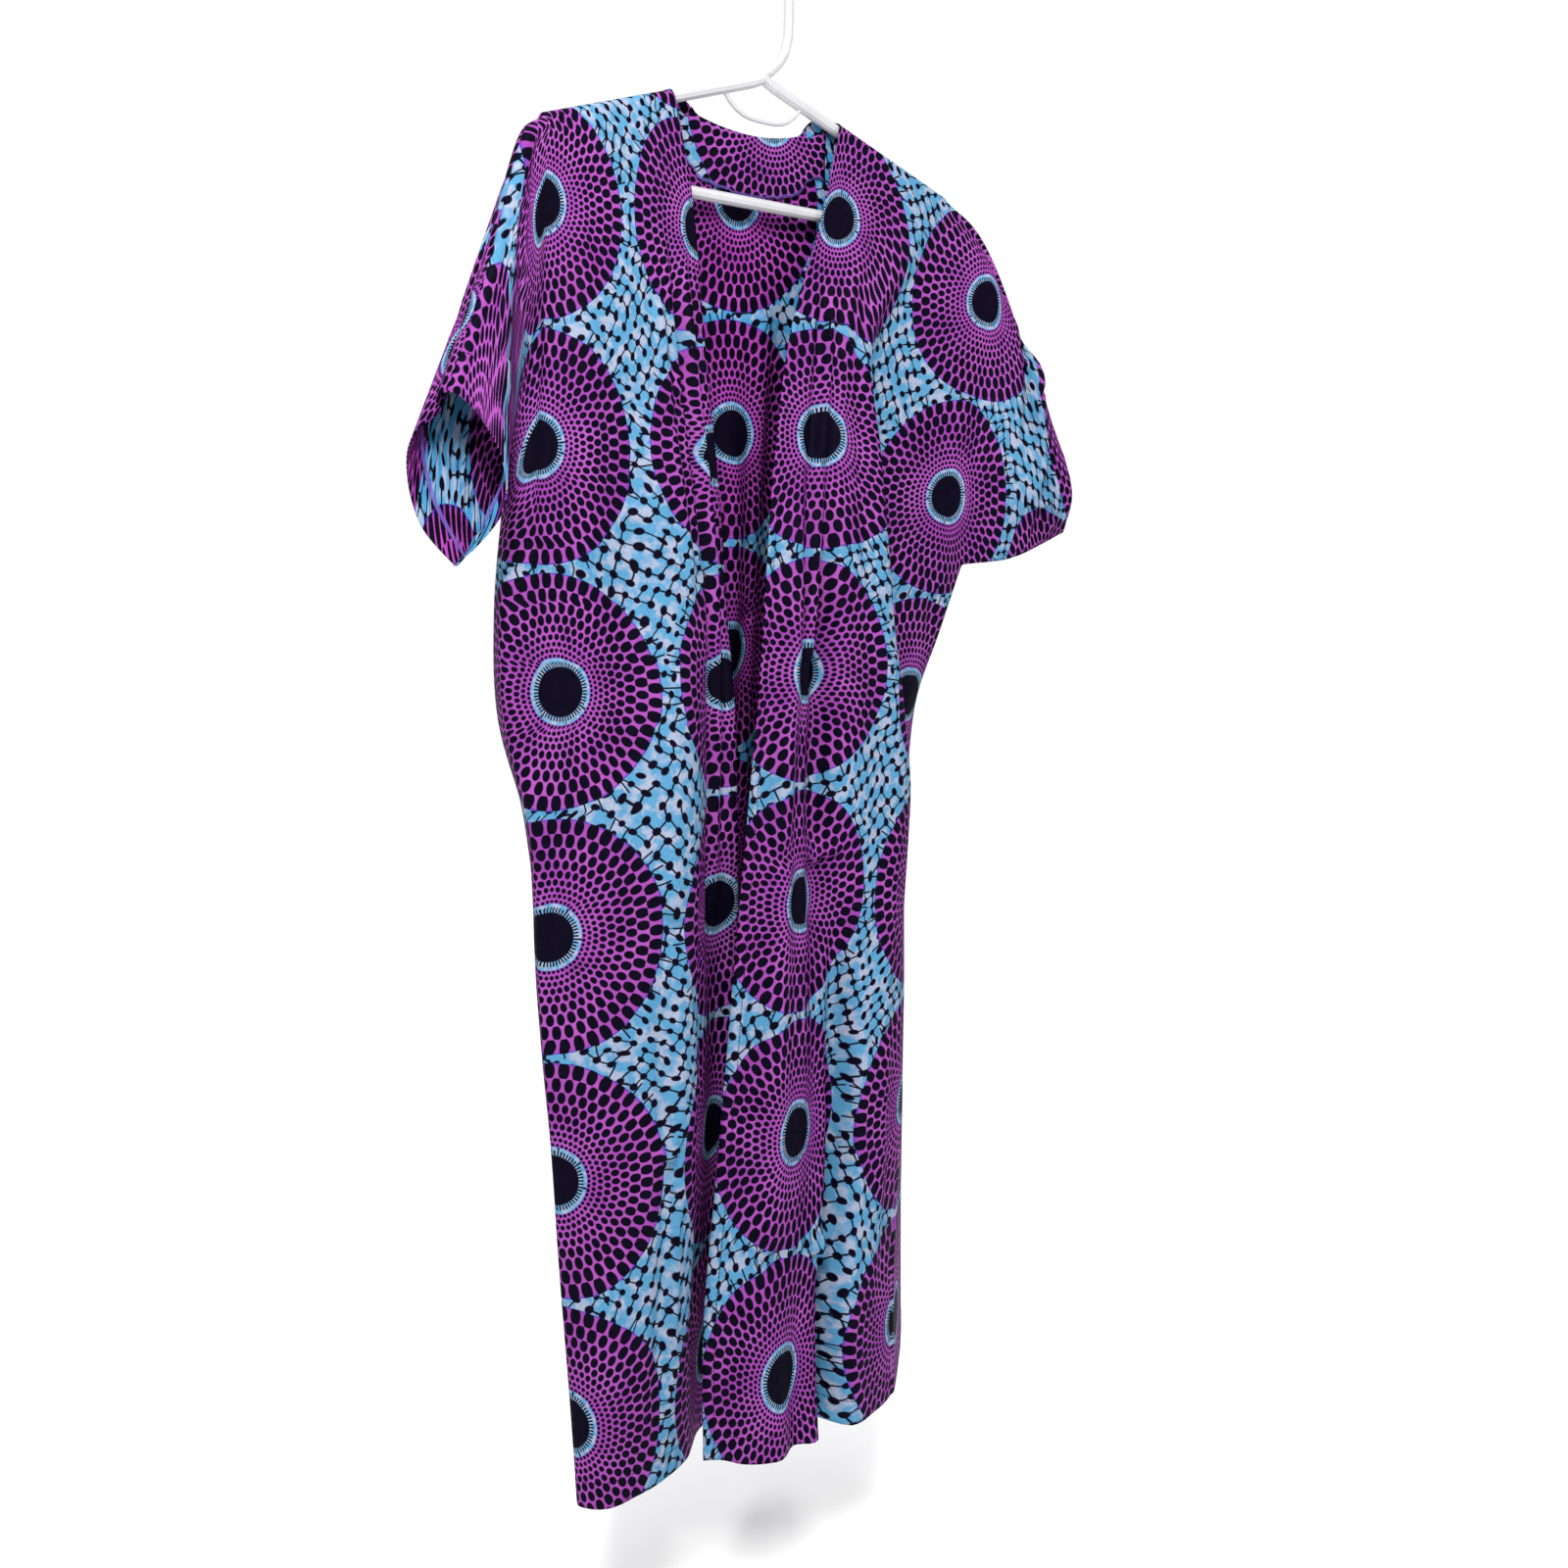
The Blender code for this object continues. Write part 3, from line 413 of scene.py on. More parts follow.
def creaseOffset(creases, station, height):
    # listed creases: a line of (station, height) points, its depth and its half width
    total = 0.0
    for line, depth, width in creases:
        for (s0, h0), (s1, h1) in zip(line, line[1:]):
            if not min(h0, h1) - width < height < max(h0, h1) + width:
                continue
            runS, runH = s1 - s0, h1 - h0
            share = ((station - s0) * runS + (height - h0) * runH) / (runS * runS + runH * runH)
            share = min(max(share, 0.0), 1.0)
            gap = math.hypot(station - s0 - runS * share, height - h0 - runH * share) / width
            if gap < 1.0:
                along = (line.index((s0, h0)) + share) / (len(line) - 1)
                ends = robe["creaseEnds"]
                fade = smoothStep(along * ends) * smoothStep((1.0 - along) * ends)
                here = depth * fade * (0.5 + 0.5 * math.cos(math.pi * gap))
                if abs(here) > abs(total):
                    total = here
                break
    return total


def rowPoints(panel, columns, down, across):
    # the cloth's points at one distance down, None where the cloth isn't
    marks, stations, under = robe["marks"], panel["stations"], underarmDown
    wrapDown = robe["wrapDown"]
    count = len(stations)
    isBack = panel["side"] == 0

    def wrapRow(turn):
        return [wrapPoint(lineThrough(panel["shoulder"], stations, at), turn, panel["facing"],
                          isBack) for at in across]

    if down <= wrapDown + tiny:
        return wrapRow(robe["wrapTurn"] * down / wrapDown)

    def columnAt(c, level):
        own = marks[:len(columns[c])]
        if c in panel["sides"] and level >= under - tiny:
            start = robe["underarm"]
            return curveThrough(columns[c][start:], own[start:], level)
        return curveThrough(columns[c], own, level)

    present = [c for c in range(count) if down <= marks[len(columns[c]) - 1] + tiny]
    places = [stations[c] for c in present]
    points = [columnAt(c, down) for c in present]
    breaks, share = [], 0.0
    if down <= under + tiny:
        edges = sorted({0, *panel["sides"], count - 1})
        breaks = list(zip(edges, edges[1:]))
        start = under - robe["breakFrom"]
        if panel["side"] < 0:
            start = marks[robe["underarm"] - 1]
        share = smoothStep((down - start) / robe["breakOver"][panel["side"]])
    row = []
    for at in across:
        if at < places[0] - tiny or at > places[-1] + tiny:
            row.append(None)
            continue
        point = curveThrough(points, places, at)
        if share > 0.0:
            for low, high in breaks:
                if stations[low] - tiny <= at <= stations[high] + tiny:
                    broken = curveThrough(points[low:high + 1], stations[low:high + 1], at)
                    point = point.lerp(broken, share)
                    break
        row.append(point)
    fade = 1.0 - smoothStep((down - wrapDown) / robe["wrapFade"])
    if fade > 0.0:
        wrapped = wrapRow(robe["wrapTurn"])
        knots = [columnAt(c, wrapDown + tiny) for c in range(count)]
        for k, at in enumerate(across):
            row[k] += (wrapped[k] - curveThrough(knots, stations, at)) * fade
    return row


# How the printed cloth is laid on the panels
printLay = {
    "pitch": 0.1845,           # from one disc's centre to the next, across the cloth
    "sleeveFade": 0.060,       # drop below the underarm over which the sleeves' share dies out
    "sleeveFrom": 0.225,       # station from which heights are measured down the sleeve's cloth
    "sleeveOver": 0.045,
    "pinchFrom": 0.012,        # stations over which the pinched fold takes up cloth...
    "pinchOver": 0.058,
    "giveFrom": 0.090,         # ...and over which the cloth beyond gives it back
    "giveOver": 0.095,
    "sunkOver": 0.160,         # the near discs sit lower, fading out at this station
    "held": 0.024,             # the part of the droop that the body keeps
    "heldTo": -0.600,
    "heldFade": 0.150,
}


def stationIndex(across, station):
    return min(range(len(across)), key=lambda k: abs(across[k] - station))


def aboveUnderarm(down):
    return 1.0 - smoothStep((down - underarmDown) / printLay["sleeveFade"])


def backPrint(panel, row, arc, across, above):
    middle = arc[stationIndex(across, panel["printCentre"])]
    places = []
    for k, point in enumerate(row):
        if point is None:
            places.append(None)
            continue
        height = tableAt(panel["printHeights"], point.z)
        height += tableAt(panel["droop"], across[k]) * above
        places.append((arc[k] - middle, height))
    return places


def frontPrint(panel, row, arc, across, above):
    lay, pitch = printLay, printLay["pitch"]
    onRight = panel["side"] > 0
    edgeHeight = row[0].z
    edge = tableAt(panel["edgePrint"], edgeHeight)
    near = stationIndex(across, 0.0) if onRight else 0
    nearPrint = 0.0 if onRight else edge
    far = stationIndex(across, tableAt(panel["farStation"], edgeHeight))
    sideStation, sidePrint = panel["sidePrint"]
    side = stationIndex(across, sideStation)
    places = []
    for k, (point, at) in enumerate(zip(row, across)):
        if point is None:
            places.append(None)
            continue
        if k < near:
            along = edge + (nearPrint - edge) * arc[k] / arc[near]
        elif k <= far:
            share = (arc[k] - arc[near]) / (arc[far] - arc[near])
            along = nearPrint + (pitch - nearPrint) * share
        else:
            along = pitch + arc[k] - arc[far]
            spare = (sidePrint - pitch - arc[side] + arc[far]) * above
            along += spare * min(1.0, (arc[k] - arc[far]) / (arc[side] - arc[far]))
            along += tableAt(panel["gathered"], at) * above
        droop = tableAt(panel["droop"], at)
        height, held = point.z, 0.0
        if onRight:
            pinched = smoothStep((at - lay["pinchFrom"]) / lay["pinchOver"])
            given = smoothStep((at - lay["giveFrom"]) / lay["giveOver"])
            along += tableAt(panel["takenUp"], edgeHeight) * pinched * (1.0 - given)
            height += tableAt(panel["sunk"], edgeHeight) * (1.0 - smoothStep(at / lay["sunkOver"]))
            released = smoothStep((lay["heldTo"] - point.z) / lay["heldFade"])
            held = min(droop, lay["held"]) * (1.0 - released)
        places.append((along, height + held + (droop - held) * above))
    return places


def printPlaces(panel, row, across, down):
    # where each point of a row lies on the printed cloth, across and down it
    arc, total, before = [], 0.0, None
    for point in row:
        if point is not None and before is not None:
            total += (point - before).length
        arc.append(total)
        before = point
    layOut = backPrint if panel["side"] == 0 else frontPrint
    return layOut(panel, row, arc, across, aboveUnderarm(down))


def sleevePlaces(places, tops, fallen, across, down):
    # on a sleeve the print's rows run along the overarm, so heights are measured down the cloth
    above = aboveUnderarm(down)
    turned = []
    for place, top, fall, at in zip(places, tops, fallen, across):
        if place is None:
            turned.append(None)
            continue
        share = above * smoothStep((abs(at) - printLay["sleeveFrom"]) / printLay["sleeveOver"])
        turned.append((place[0], place[1] + (top - fall - place[1]) * share))
    return turned


def printRows(panel, rows, across, downs):
    prints, tops, before = [], None, None
    fallen = [0.0] * len(across)
    for row, down in zip(rows, downs):
        for k, point in enumerate(row):
            if before and point is not None and before[k] is not None:
                fallen[k] += (point - before[k]).length
        places = printPlaces(panel, row, across, down)
        tops = tops or [place[1] for place in places]
        prints.append(sleevePlaces(places, tops, fallen, across, down))
        before = row
    return prints


def addItem(name, data):
    item = bpy.data.objects.new(name, data)
    bpy.context.scene.collection.objects.link(item)
    return item


def clothMesh(name, rows, prints, trims, outward, lift):
    # a grid of cloth set on its rows of points, with the print's and the trim's own maps
    high, wide = len(rows), len(rows[0])
    cloth = bmesh.new()
    bmesh.ops.create_grid(cloth, x_segments=wide - 1, y_segments=high - 1, size=1.0)
    printMap = cloth.loops.layers.uv.new("print")
    trimMap = cloth.loops.layers.uv.new("trim")
    double = cloth.verts.layers.deform.verify()
    place, spare = {}, []
    for vert in cloth.verts:
        k = round((vert.co.x + 1.0) / 2.0 * (wide - 1))
        r = round((1.0 - vert.co.y) / 2.0 * (high - 1))
        place[vert] = (r, k)
        if rows[r][k] is None:
            spare.append(vert)
        else:
            vert.co = rows[r][k]
    for face in cloth.faces:
        for loop in face.loops:
            r, k = place[loop.vert]
            if rows[r][k] is not None:
                loop[printMap].uv = prints[r][k]
                loop[trimMap].uv = trims[r][k]
    lifts = {vert: lift[place[vert][0]][place[vert][1]] for vert in cloth.verts}
    weights = {vert: trims[place[vert][0]][place[vert][1]] for vert in cloth.verts}
    bmesh.ops.delete(cloth, geom=spare, context="VERTS")
    bmesh.ops.recalc_face_normals(cloth, faces=cloth.faces)
    if sum(face.normal.y * face.calc_area() for face in cloth.faces) * outward < 0:
        bmesh.ops.reverse_faces(cloth, faces=cloth.faces)
    cloth.normal_update()
    moves = {vert: vert.normal * lifts[vert] for vert in cloth.verts}
    for vert, move in moves.items():
        vert.co += move
        fromEdge, fromHem = weights[vert]
        turned = fromHem < robe["hem"] or fromEdge < robe["edgeTurn"]
        vert[double][0] = 1.0 if turned else 0.0
    data = bpy.data.meshes.new(name)
    cloth.to_mesh(data)
    cloth.free()
    data.shade_smooth()
    item = addItem(name, data)
    item.vertex_groups.new(name="turnedHem")
    wall = item.modifiers.new("cloth", "SOLIDIFY")
    wall.thickness = robe["clothThickness"] * 2.0
    wall.offset = 0.0
    wall.use_even_offset = False
    wall.vertex_group = "turnedHem"
    wall.thickness_vertex_group = 0.5
    wall.material_offset = 1
    return item


# Creases beyond the solids' own folds, in millimetres: (points down the crease, each a station
# and a height, then depth and half width)
rightCreases = metres((
    (((-26, -420), (-28, -700), (-14, -1000), (4, -1300)), 6.6, 24),
    (((24, -420), (24, -700), (42, -1000), (64, -1300)), -11, 27),
    (((-13, -240), (-11, -400), (-8, -620)), -4.6, 12),
    (((4, -240), (6, -400), (8, -620)), 3.4, 11),
    (((30, -180), (42, -300), (40, -440)), 2.2, 16),
    (((75, -230), (72, -420), (78, -700)), -2.4, 14),
    (((90, -620), (85, -860), (90, -1120)), 2.6, 14),
    (((-45, -620), (-50, -900), (-52, -1150)), 2.2, 16),
    (((10, -720), (4, -940), (6, -1150)), 2.4, 16),
    (((215, -205), (205, -270), (200, -350)), -3, 16),
    (((246, -225), (258, -300), (266, -400)), -6.2, 14),
    (((272, -250), (284, -330), (292, -440)), 5, 14),
    (((302, -380), (298, -430), (302, -480)), -5, 12),
    (((318, -410), (316, -440), (320, -465)), 2.6, 10),
    (((275, -440), (280, -470), (290, -495)), -2.6, 11),
    (((160, -300), (190, -380), (215, -470)), 2.4, 18),
    (((150, -440), (185, -500), (215, -560)), -2.6, 16),
))

leftCreases = metres((
    (((-2, -240), (0, -400), (2, -760)), -3.6, 11),
    (((10, -230), (13, -400), (14, -800)), 3.4, 11),
    (((60, -260), (66, -380), (62, -540)), 3, 11),
    (((100, -700), (104, -900), (110, -1163)), -5, 22),
    (((26, -250), (28, -420), (26, -860)), -3.6, 12),
    (((42, -230), (46, -360), (44, -600)), 2.8, 12),
    (((100, -340), (110, -440), (118, -560)), -2.6, 18),
    (((150, -210), (140, -330), (146, -480)), 2.2, 18),
    (((170, -560), (160, -760), (168, -1000)), -2.4, 18),
    (((95, -640), (100, -860), (100, -1120)), 2.8, 18),
    (((50, -700), (48, -920), (50, -1140)), -3, 15),
    (((250, -230), (262, -275), (252, -320)), -3, 13),
    (((290, -300), (310, -340), (330, -390)), 2.4, 13),
    (((335, -430), (330, -460), (335, -490)), -2.8, 11),
    (((200, -300), (206, -420), (200, -560)), 1.8, 14),
))

backCreases = metres((
    (((-130, -260), (-126, -480), (-120, -760)), 2.2, 18),
    (((-50, -230), (-56, -460), (-50, -820)), 2, 18),
    (((20, -240), (12, -520), (18, -900)), -2.6, 18),
    (((82, -260), (90, -540), (86, -940)), -2.2, 18),
    (((150, -300), (146, -600), (150, -980)), 2.4, 18),
    (((-180, -500), (-176, -780), (-168, -1100)), -2.2, 18),
    (((-300, -310), (-270, -360), (-235, -430)), -3, 16),
    (((-330, -380), (-300, -420), (-270, -470)), 2.6, 14),
    (((260, -260), (240, -340), (225, -430)), -3, 16),
    (((320, -380), (295, -420), (270, -470)), 2.6, 14),
))


# slight unevenness of hanging cloth: (size, strength, seed)
wrinkles = ((0.060, 0.0011, 3.0), (0.022, 0.0004, 9.0))


def wrinkleAt(point):
    total = 0.0
    for size, strength, seed in wrinkles:
        place = Vector((point.x, point.y, point.z * robe["wrinkleDraw"])) / size
        total += noise.noise(place + Vector((seed, seed * 0.7, 0.0))) * strength
    return total


def edgeDistances(panel, point, at, down):
    # how far a place lies from the free edge, and from the hem or the sleeve's mouth
    marks, stations = robe["marks"], panel["stations"]
    isBack = panel["side"] == 0
    fromHem = marks[-1] - down
    if down <= underarmDown + tiny:
        fromHem = min(fromHem, stations[-1] - at)
        if isBack:
            fromHem = min(fromHem, at - stations[0])
    if not isBack:
        return at - stations[0], fromHem
    past = robe["neckPast"]
    onNeck = robe["neckLeftX"] - past < point.x < robe["neckRightX"] + past
    return (down if onNeck else away), fromHem


def seamDistance(panel, at, down, onNeck):
    # how far a place lies from the seams that join this panel to the next
    under, toSeam = underarmDown, away if onNeck else down
    for c in panel["sides"]:
        place = panel["stations"][c]
        if down > under:
            reach = abs(at - place)
        elif down > under - tiny:
            reach = away
        elif (at > place) if place > 0 else (at < place):
            reach = under - down
        else:
            reach = math.hypot(under - down, at - place)
        toSeam = min(toSeam, reach)
    return toSeam


def liftAt(panel, creases, point, at, down, toSeam):
    # how far the thin cloth stands off the solid's inner face
    sizes, sleeved = robe, down <= underarmDown + tiny
    lift = sizes["wall"] / 2.0 * smoothStep(toSeam / sizes["seamFade"])
    if sleeved or toSeam > sizes["foldStop"]:
        lift += foldOffset(panel["folds"], at, point.z)
    own = creaseOffset(creases, at, point.z) * sizes["creaseDepth"] + wrinkleAt(point)
    own *= smoothStep(toSeam / sizes["creaseFade"])
    return lift + own * smoothStep((down - sizes["creaseFrom"]) / sizes["creaseOver"])


def buildPanel(name, panel, creases):
    across = spread(panel["stations"], robe["cell"])
    downs = spread(robe["marks"], robe["cell"])
    columns = panelColumns(panel)
    rows = [rowPoints(panel, columns, down, across) for down in downs]
    trims, lifts = [], []
    for row, down in zip(rows, downs):
        trimRow, liftRow = [], []
        for at, point in zip(across, row):
            trim, lift = (away, away), 0.0
            if point is not None:
                trim = edgeDistances(panel, point, at, down)
                onNeck = panel["side"] == 0 and trim[0] == down
                toSeam = seamDistance(panel, at, down, onNeck)
                lift = liftAt(panel, creases, point, at, down, toSeam)
            trimRow.append(trim)
            liftRow.append(lift)
        trims.append(trimRow)
        lifts.append(liftRow)
    prints = printRows(panel, rows, across, downs)
    print(name, len(across), "by", len(downs), "places")
    return clothMesh(name, rows, prints, trims, panel["facing"], lifts)


facingSizes = {
    "depth": 0.0480,
    "inset": 0.0040,
    "gap": 0.0009,             # from the back's middle to the facing's
    "rows": 14,
    "cell": 0.0035,
    "step": 0.0015,            # steps by which the back is followed down
    "steps": 60,
    "search": 0.25,
    "flat": (0.172, 0.048),
    "printShift": (0.014, 0.107),
}


def buildFacing():
    # the neck facing, laid on the inside of the back from its neck edge down
    sizes, count = facingSizes, facingSizes["rows"]
    columns = panelColumns(backPanel)
    low = robe["neckLeftX"] + sizes["inset"]
    high = robe["neckRightX"] - sizes["inset"]
    stations, shoulder = backPanel["stations"], backPanel["shoulder"]
    across = [at for at in spread(stations, sizes["cell"])
              if low < lineThrough(shoulder, stations, at) < high]
    sheet = [rowPoints(backPanel, columns, k * sizes["step"], across)
             for k in range(sizes["steps"])]
    lines = []
    for line in zip(*sheet):
        climbs = line[0].z > armHeight(line[0].x) - robe["neckDepthY"]
        start = robe["wrapDown"] / sizes["step"] if climbs else 0.0
        end = start + 1.0
        while end < len(line) - 1 and line[int(end)].z > line[0].z - sizes["depth"]:
            end += sizes["search"]
        lines.append([lineThrough(line, range(len(line)), start + (end - start) * j / count)
                      for j in range(count + 1)])
    rows = [list(row) for row in zip(*lines)]
    shiftX, shiftZ = sizes["printShift"]
    prints = [[(point.x - shiftX, point.z - shiftZ) for point in row] for row in rows]
    trims = [[(away, sizes["depth"] * (1.0 - r / count))] * len(row) for r, row in enumerate(rows)]
    lifts = [[-sizes["gap"]] * len(row) for row in rows]
    return clothMesh("neckFacing", rows, prints, trims, 1, lifts)


class Wire:
    # a socket that takes part in sums: the operators add Math nodes
    def __init__(self, paint, socket):
        self.paint = paint
        self.socket = socket

    def maths(self, operation, *others):
        values = {0: self}
        values.update({n + 1: other for n, other in enumerate(others)})
        return self.paint.add("ShaderNodeMath", {"operation": operation}, values)

    def __add__(self, other):
        return self.maths("ADD", other)

    __radd__ = __add__

    def __sub__(self, other):
        return self.maths("SUBTRACT", other)

    def __rsub__(self, other):
        return self.paint.add("ShaderNodeMath", {"operation": "SUBTRACT"}, {0: other, 1: self})

    def __mul__(self, other):
        return self.maths("MULTIPLY", other)

    __rmul__ = __mul__

    def __truediv__(self, other):
        return self.maths("DIVIDE", other)

    def __abs__(self):
        return self.maths("ABSOLUTE")

    def below(self, edge, soft):
        # 1 where the value is less than edge, 0 above it, over a soft step
        return self.ramp(edge + soft / 2.0, edge - soft / 2.0)

    def above(self, edge, soft):
        return self.ramp(edge - soft / 2.0, edge + soft / 2.0)

    def ramp(self, zeroAt, oneAt):
        return self.paint.add("ShaderNodeMapRange", {"interpolation_type": "LINEAR", "clamp": True},
                              {"Value": self, "From Min": zeroAt, "From Max": oneAt})


class Paint:
    # one material and its nodes
    def __init__(self, name):
        self.material = bpy.data.materials.new(name)
        self.material.use_nodes = True
        self.tree = self.material.node_tree
        self.shader = self.tree.nodes["Principled BSDF"]

    def add(self, kind, settings=None, values=None, output=0):
        node = self.tree.nodes.new(kind)
        for key, value in (settings or {}).items():
            setattr(node, key, value)
        self.join(node, values or {})
        return Wire(self, node.outputs[output])

    def join(self, node, values):
        for key, value in values.items():
            if isinstance(value, Wire):
                self.tree.links.new(value.socket, node.inputs[key])
            else:
                node.inputs[key].default_value = value

    def mix(self, mask, first, second):
        # colours: first where the mask is 0, second where it is 1
        return self.add("ShaderNodeMix", {"data_type": "RGBA"},
                        {"Factor": mask, 6: first, 7: second}, 2)

    def grain(self, vector, scale, detail):
        return self.add("ShaderNodeTexNoise", None,
                        {"Vector": vector, "Scale": scale, "Detail": detail})

    def patches(self, vector, name):
        scale, detail, low, high = patchSizes[name]
        return self.grain(vector, scale, detail).ramp(low, high)

    def split(self, vector):
        node = self.add("ShaderNodeSeparateXYZ", None, {0: vector}).socket.node
        return Wire(self, node.outputs[0]), Wire(self, node.outputs[1])

    def bump(self, strength, distance, height):
        return self.add("ShaderNodeBump", None,
                        {"Strength": strength, "Distance": distance, "Height": height})

    def someOf(self, x, y, share):
        # 1 for that share of the pairs of whole numbers, 0 for the others
        return self.chance(x, y).below(share, 0.01)

    def chance(self, x, y):
        # an even random number for each pair of whole numbers
        pair = self.add("ShaderNodeCombineXYZ", None, {0: x, 1: y})
        return self.add("ShaderNodeTexWhiteNoise", {"noise_dimensions": "2D"}, {"Vector": pair})


def colour(red, green, blue):
    def linear(value):
        value /= 255.0
        return value / 12.92 if value <= 0.04045 else ((value + 0.055) / 1.055) ** 2.4
    return (linear(red), linear(green), linear(blue), 1.0)


printSizes = {
    "pitchAcross": printLay["pitch"],
    "pitchDown": 0.1745,
    "firstRow": 0.2320,
    "drift": 0.0012,           # unevenness of the printed circles
    "driftGrain": (70.0, 1.0),
    "disc": 0.0845,
    "rim": 0.0013,
    "centre": 0.0180,
    "ring": 0.0244,
    "ringRim": 0.0004,
    "firstOvals": 0.0255,
    "ovalGrowth": 1.152,       # each ring of ovals is this much larger than the last
    "ovalRows": 9,
    "ovalsAround": 48,
    "ovalWidth": 0.385,        # half width, in shares of a step round the ring
    "ovalLength": (0.34, 0.59),  # half length, innermost and outermost
    "ovalUneven": (0.92, 0.16),
    "ovalSoft": 0.22,
    "tailLength": 0.010,       # strokes that run from the outermost ovals into the gap
    "tailWidth": (0.055, 0.03),
    "tailShare": 0.6,
    "teethAround": 54,
    "toothLength": 0.0036,
    "toothWidth": (0.27, 0.1),
    "longTeeth": 0.94,
    "soft": 0.0004,
}

gapSizes = {
    "dotPitch": 0.0112,
    "dotRadius": (0.270, 0.06),
    "lineWidth": (0.062, 0.05),
    "lineShares": (0.68, 0.50),
    "slant": 0.5,
    "waves": ((42.0, 0.95), (9.0, 3.4)),  # (scale, strength)
    "elsewhere": (3.1, 7.7, 0.0),
    "crackScale": 210.0,
    "crackWidth": (0.035, 0.05),
    "crackTone": 0.30,
}

# patches of a tone: (scale, detail, none below, full above)
patchSizes = {
    "blotch": (85.0, 2.0, 0.46, 0.60),
    "worn": (150.0, 3.0, 0.35, 0.75),
    "deep": (24.0, 4.0, 0.35, 0.65),
    "marble": (260.0, 3.0, 0.42, 0.60),
    "scuff": (420.0, 4.0, 0.60, 0.72),
    "dust": (22.0, 4.0, 0.35, 0.75),
}

clothSizes = {
    "stitchPitch": 0.0028,
    "stitchIn": 0.0015,        # from the turned edge
    "edgeStitch": 0.0085,
    "stitchWidth": (0.00040, 0.0002),
    "stitchRun": (0.72, 0.06),  # the part of each pitch that shows thread
    "stitchTone": 0.85,
    "loopPitch": 0.0016,
    "loopWidth": (0.30, 0.15),
    "loopTone": (0.45, 0.55),
    "hemPucker": (0.026, 0.012),
    "edgePucker": (0.014, 0.006),
    "weavePitch": 0.0011,
    "slub": (420.0, 2.0),      # (scale, detail)
    "softCreases": (14.0, 3.0),
    "pucker": (190.0, 2.0),
    "roughness": (0.62, 0.25),
    "bump": (0.55, 0.0012),    # (strength, distance)
    "specular": 0.02,
    "thread": colour(92, 74, 150),
}

# each tone on the right side and on the wrong side; the wrong side's tones are the same print
# painted more saturated, as painted light shining through the cloth
toneTable = {
    "pink": ((140, 68, 147), (142, 60, 145)),
    "pinkDeep": ((122, 52, 132), (124, 44, 128)),
    "navy": ((6, 4, 17), (6, 3, 15)),
    "navyWorn": ((11, 7, 24), (10, 6, 22)),
    "blue": ((72, 126, 160), (56, 124, 166)),
    "pale": ((136, 144, 164), (134, 148, 170)),
    "violet": ((84, 52, 146), (84, 42, 146)),
    "crackle": ((48, 84, 134), (46, 88, 152)),
}
rightTones, wrongSideShineThroughTones = [{name: colour(*sides[k]) for name, sides in toneTable.items()}
                          for k in (0, 1)]


def discSpot(paint, cloth, across, height):
    # where a point lies round the nearest disc's centre, and that disc's column and row
    sizes = printSizes
    column = across / sizes["pitchAcross"]
    row = (height + sizes["firstRow"]) / sizes["pitchDown"]
    columnNumber, rowNumber = column.maths("ROUND"), row.maths("ROUND")
    dx = (column - columnNumber) * sizes["pitchAcross"]
    dy = (row - rowNumber) * sizes["pitchDown"]
    drift = (paint.grain(cloth, *sizes["driftGrain"]) - 0.5) * sizes["drift"]
    radius = (dx * dx + dy * dy).maths("SQRT") + drift
    turn = dy.maths("ARCTAN2", dx) / (2.0 * math.pi)
    return radius, turn, columnNumber, rowNumber


def ovalDots(paint, spot):
    # rings of ovals that grow outwards, each ring set half a step round from the last,
    # and the tails of the outermost ones
    sizes = printSizes
    radius, turn, columnNumber, rowNumber = spot
    rings = sizes["ovalRows"] - 1.0
    ringPlace = (radius / sizes["firstOvals"]).maths("LOGARITHM", sizes["ovalGrowth"])
    ring = ringPlace.maths("ROUND").maths("MAXIMUM", 0.0).maths("MINIMUM", rings)
    count = turn * sizes["ovalsAround"] + ring.maths("FLOORED_MODULO", 2.0) * 0.5
    oval = count.maths("ROUND")
    aroundRing = count - oval
    least, more = sizes["ovalUneven"]
    size = least + paint.chance(oval + ring * 7.0, rowNumber * 3.0 + columnNumber) * more
    inner, outer = sizes["ovalLength"]
    long = (ringPlace - ring) / ((inner + ring * ((outer - inner) / rings)) * size)
    wide = aroundRing / (size * sizes["ovalWidth"])
    dots = (wide * wide + long * long).below(1.0, sizes["ovalSoft"])
    tails = abs(aroundRing).below(*sizes["tailWidth"])
    tails = tails * radius.below(sizes["disc"] + sizes["tailLength"], sizes["soft"])
    tailed = paint.someOf(oval + 11.0, rowNumber * 5.0 + columnNumber, sizes["tailShare"])
    return dots, tails * tailed


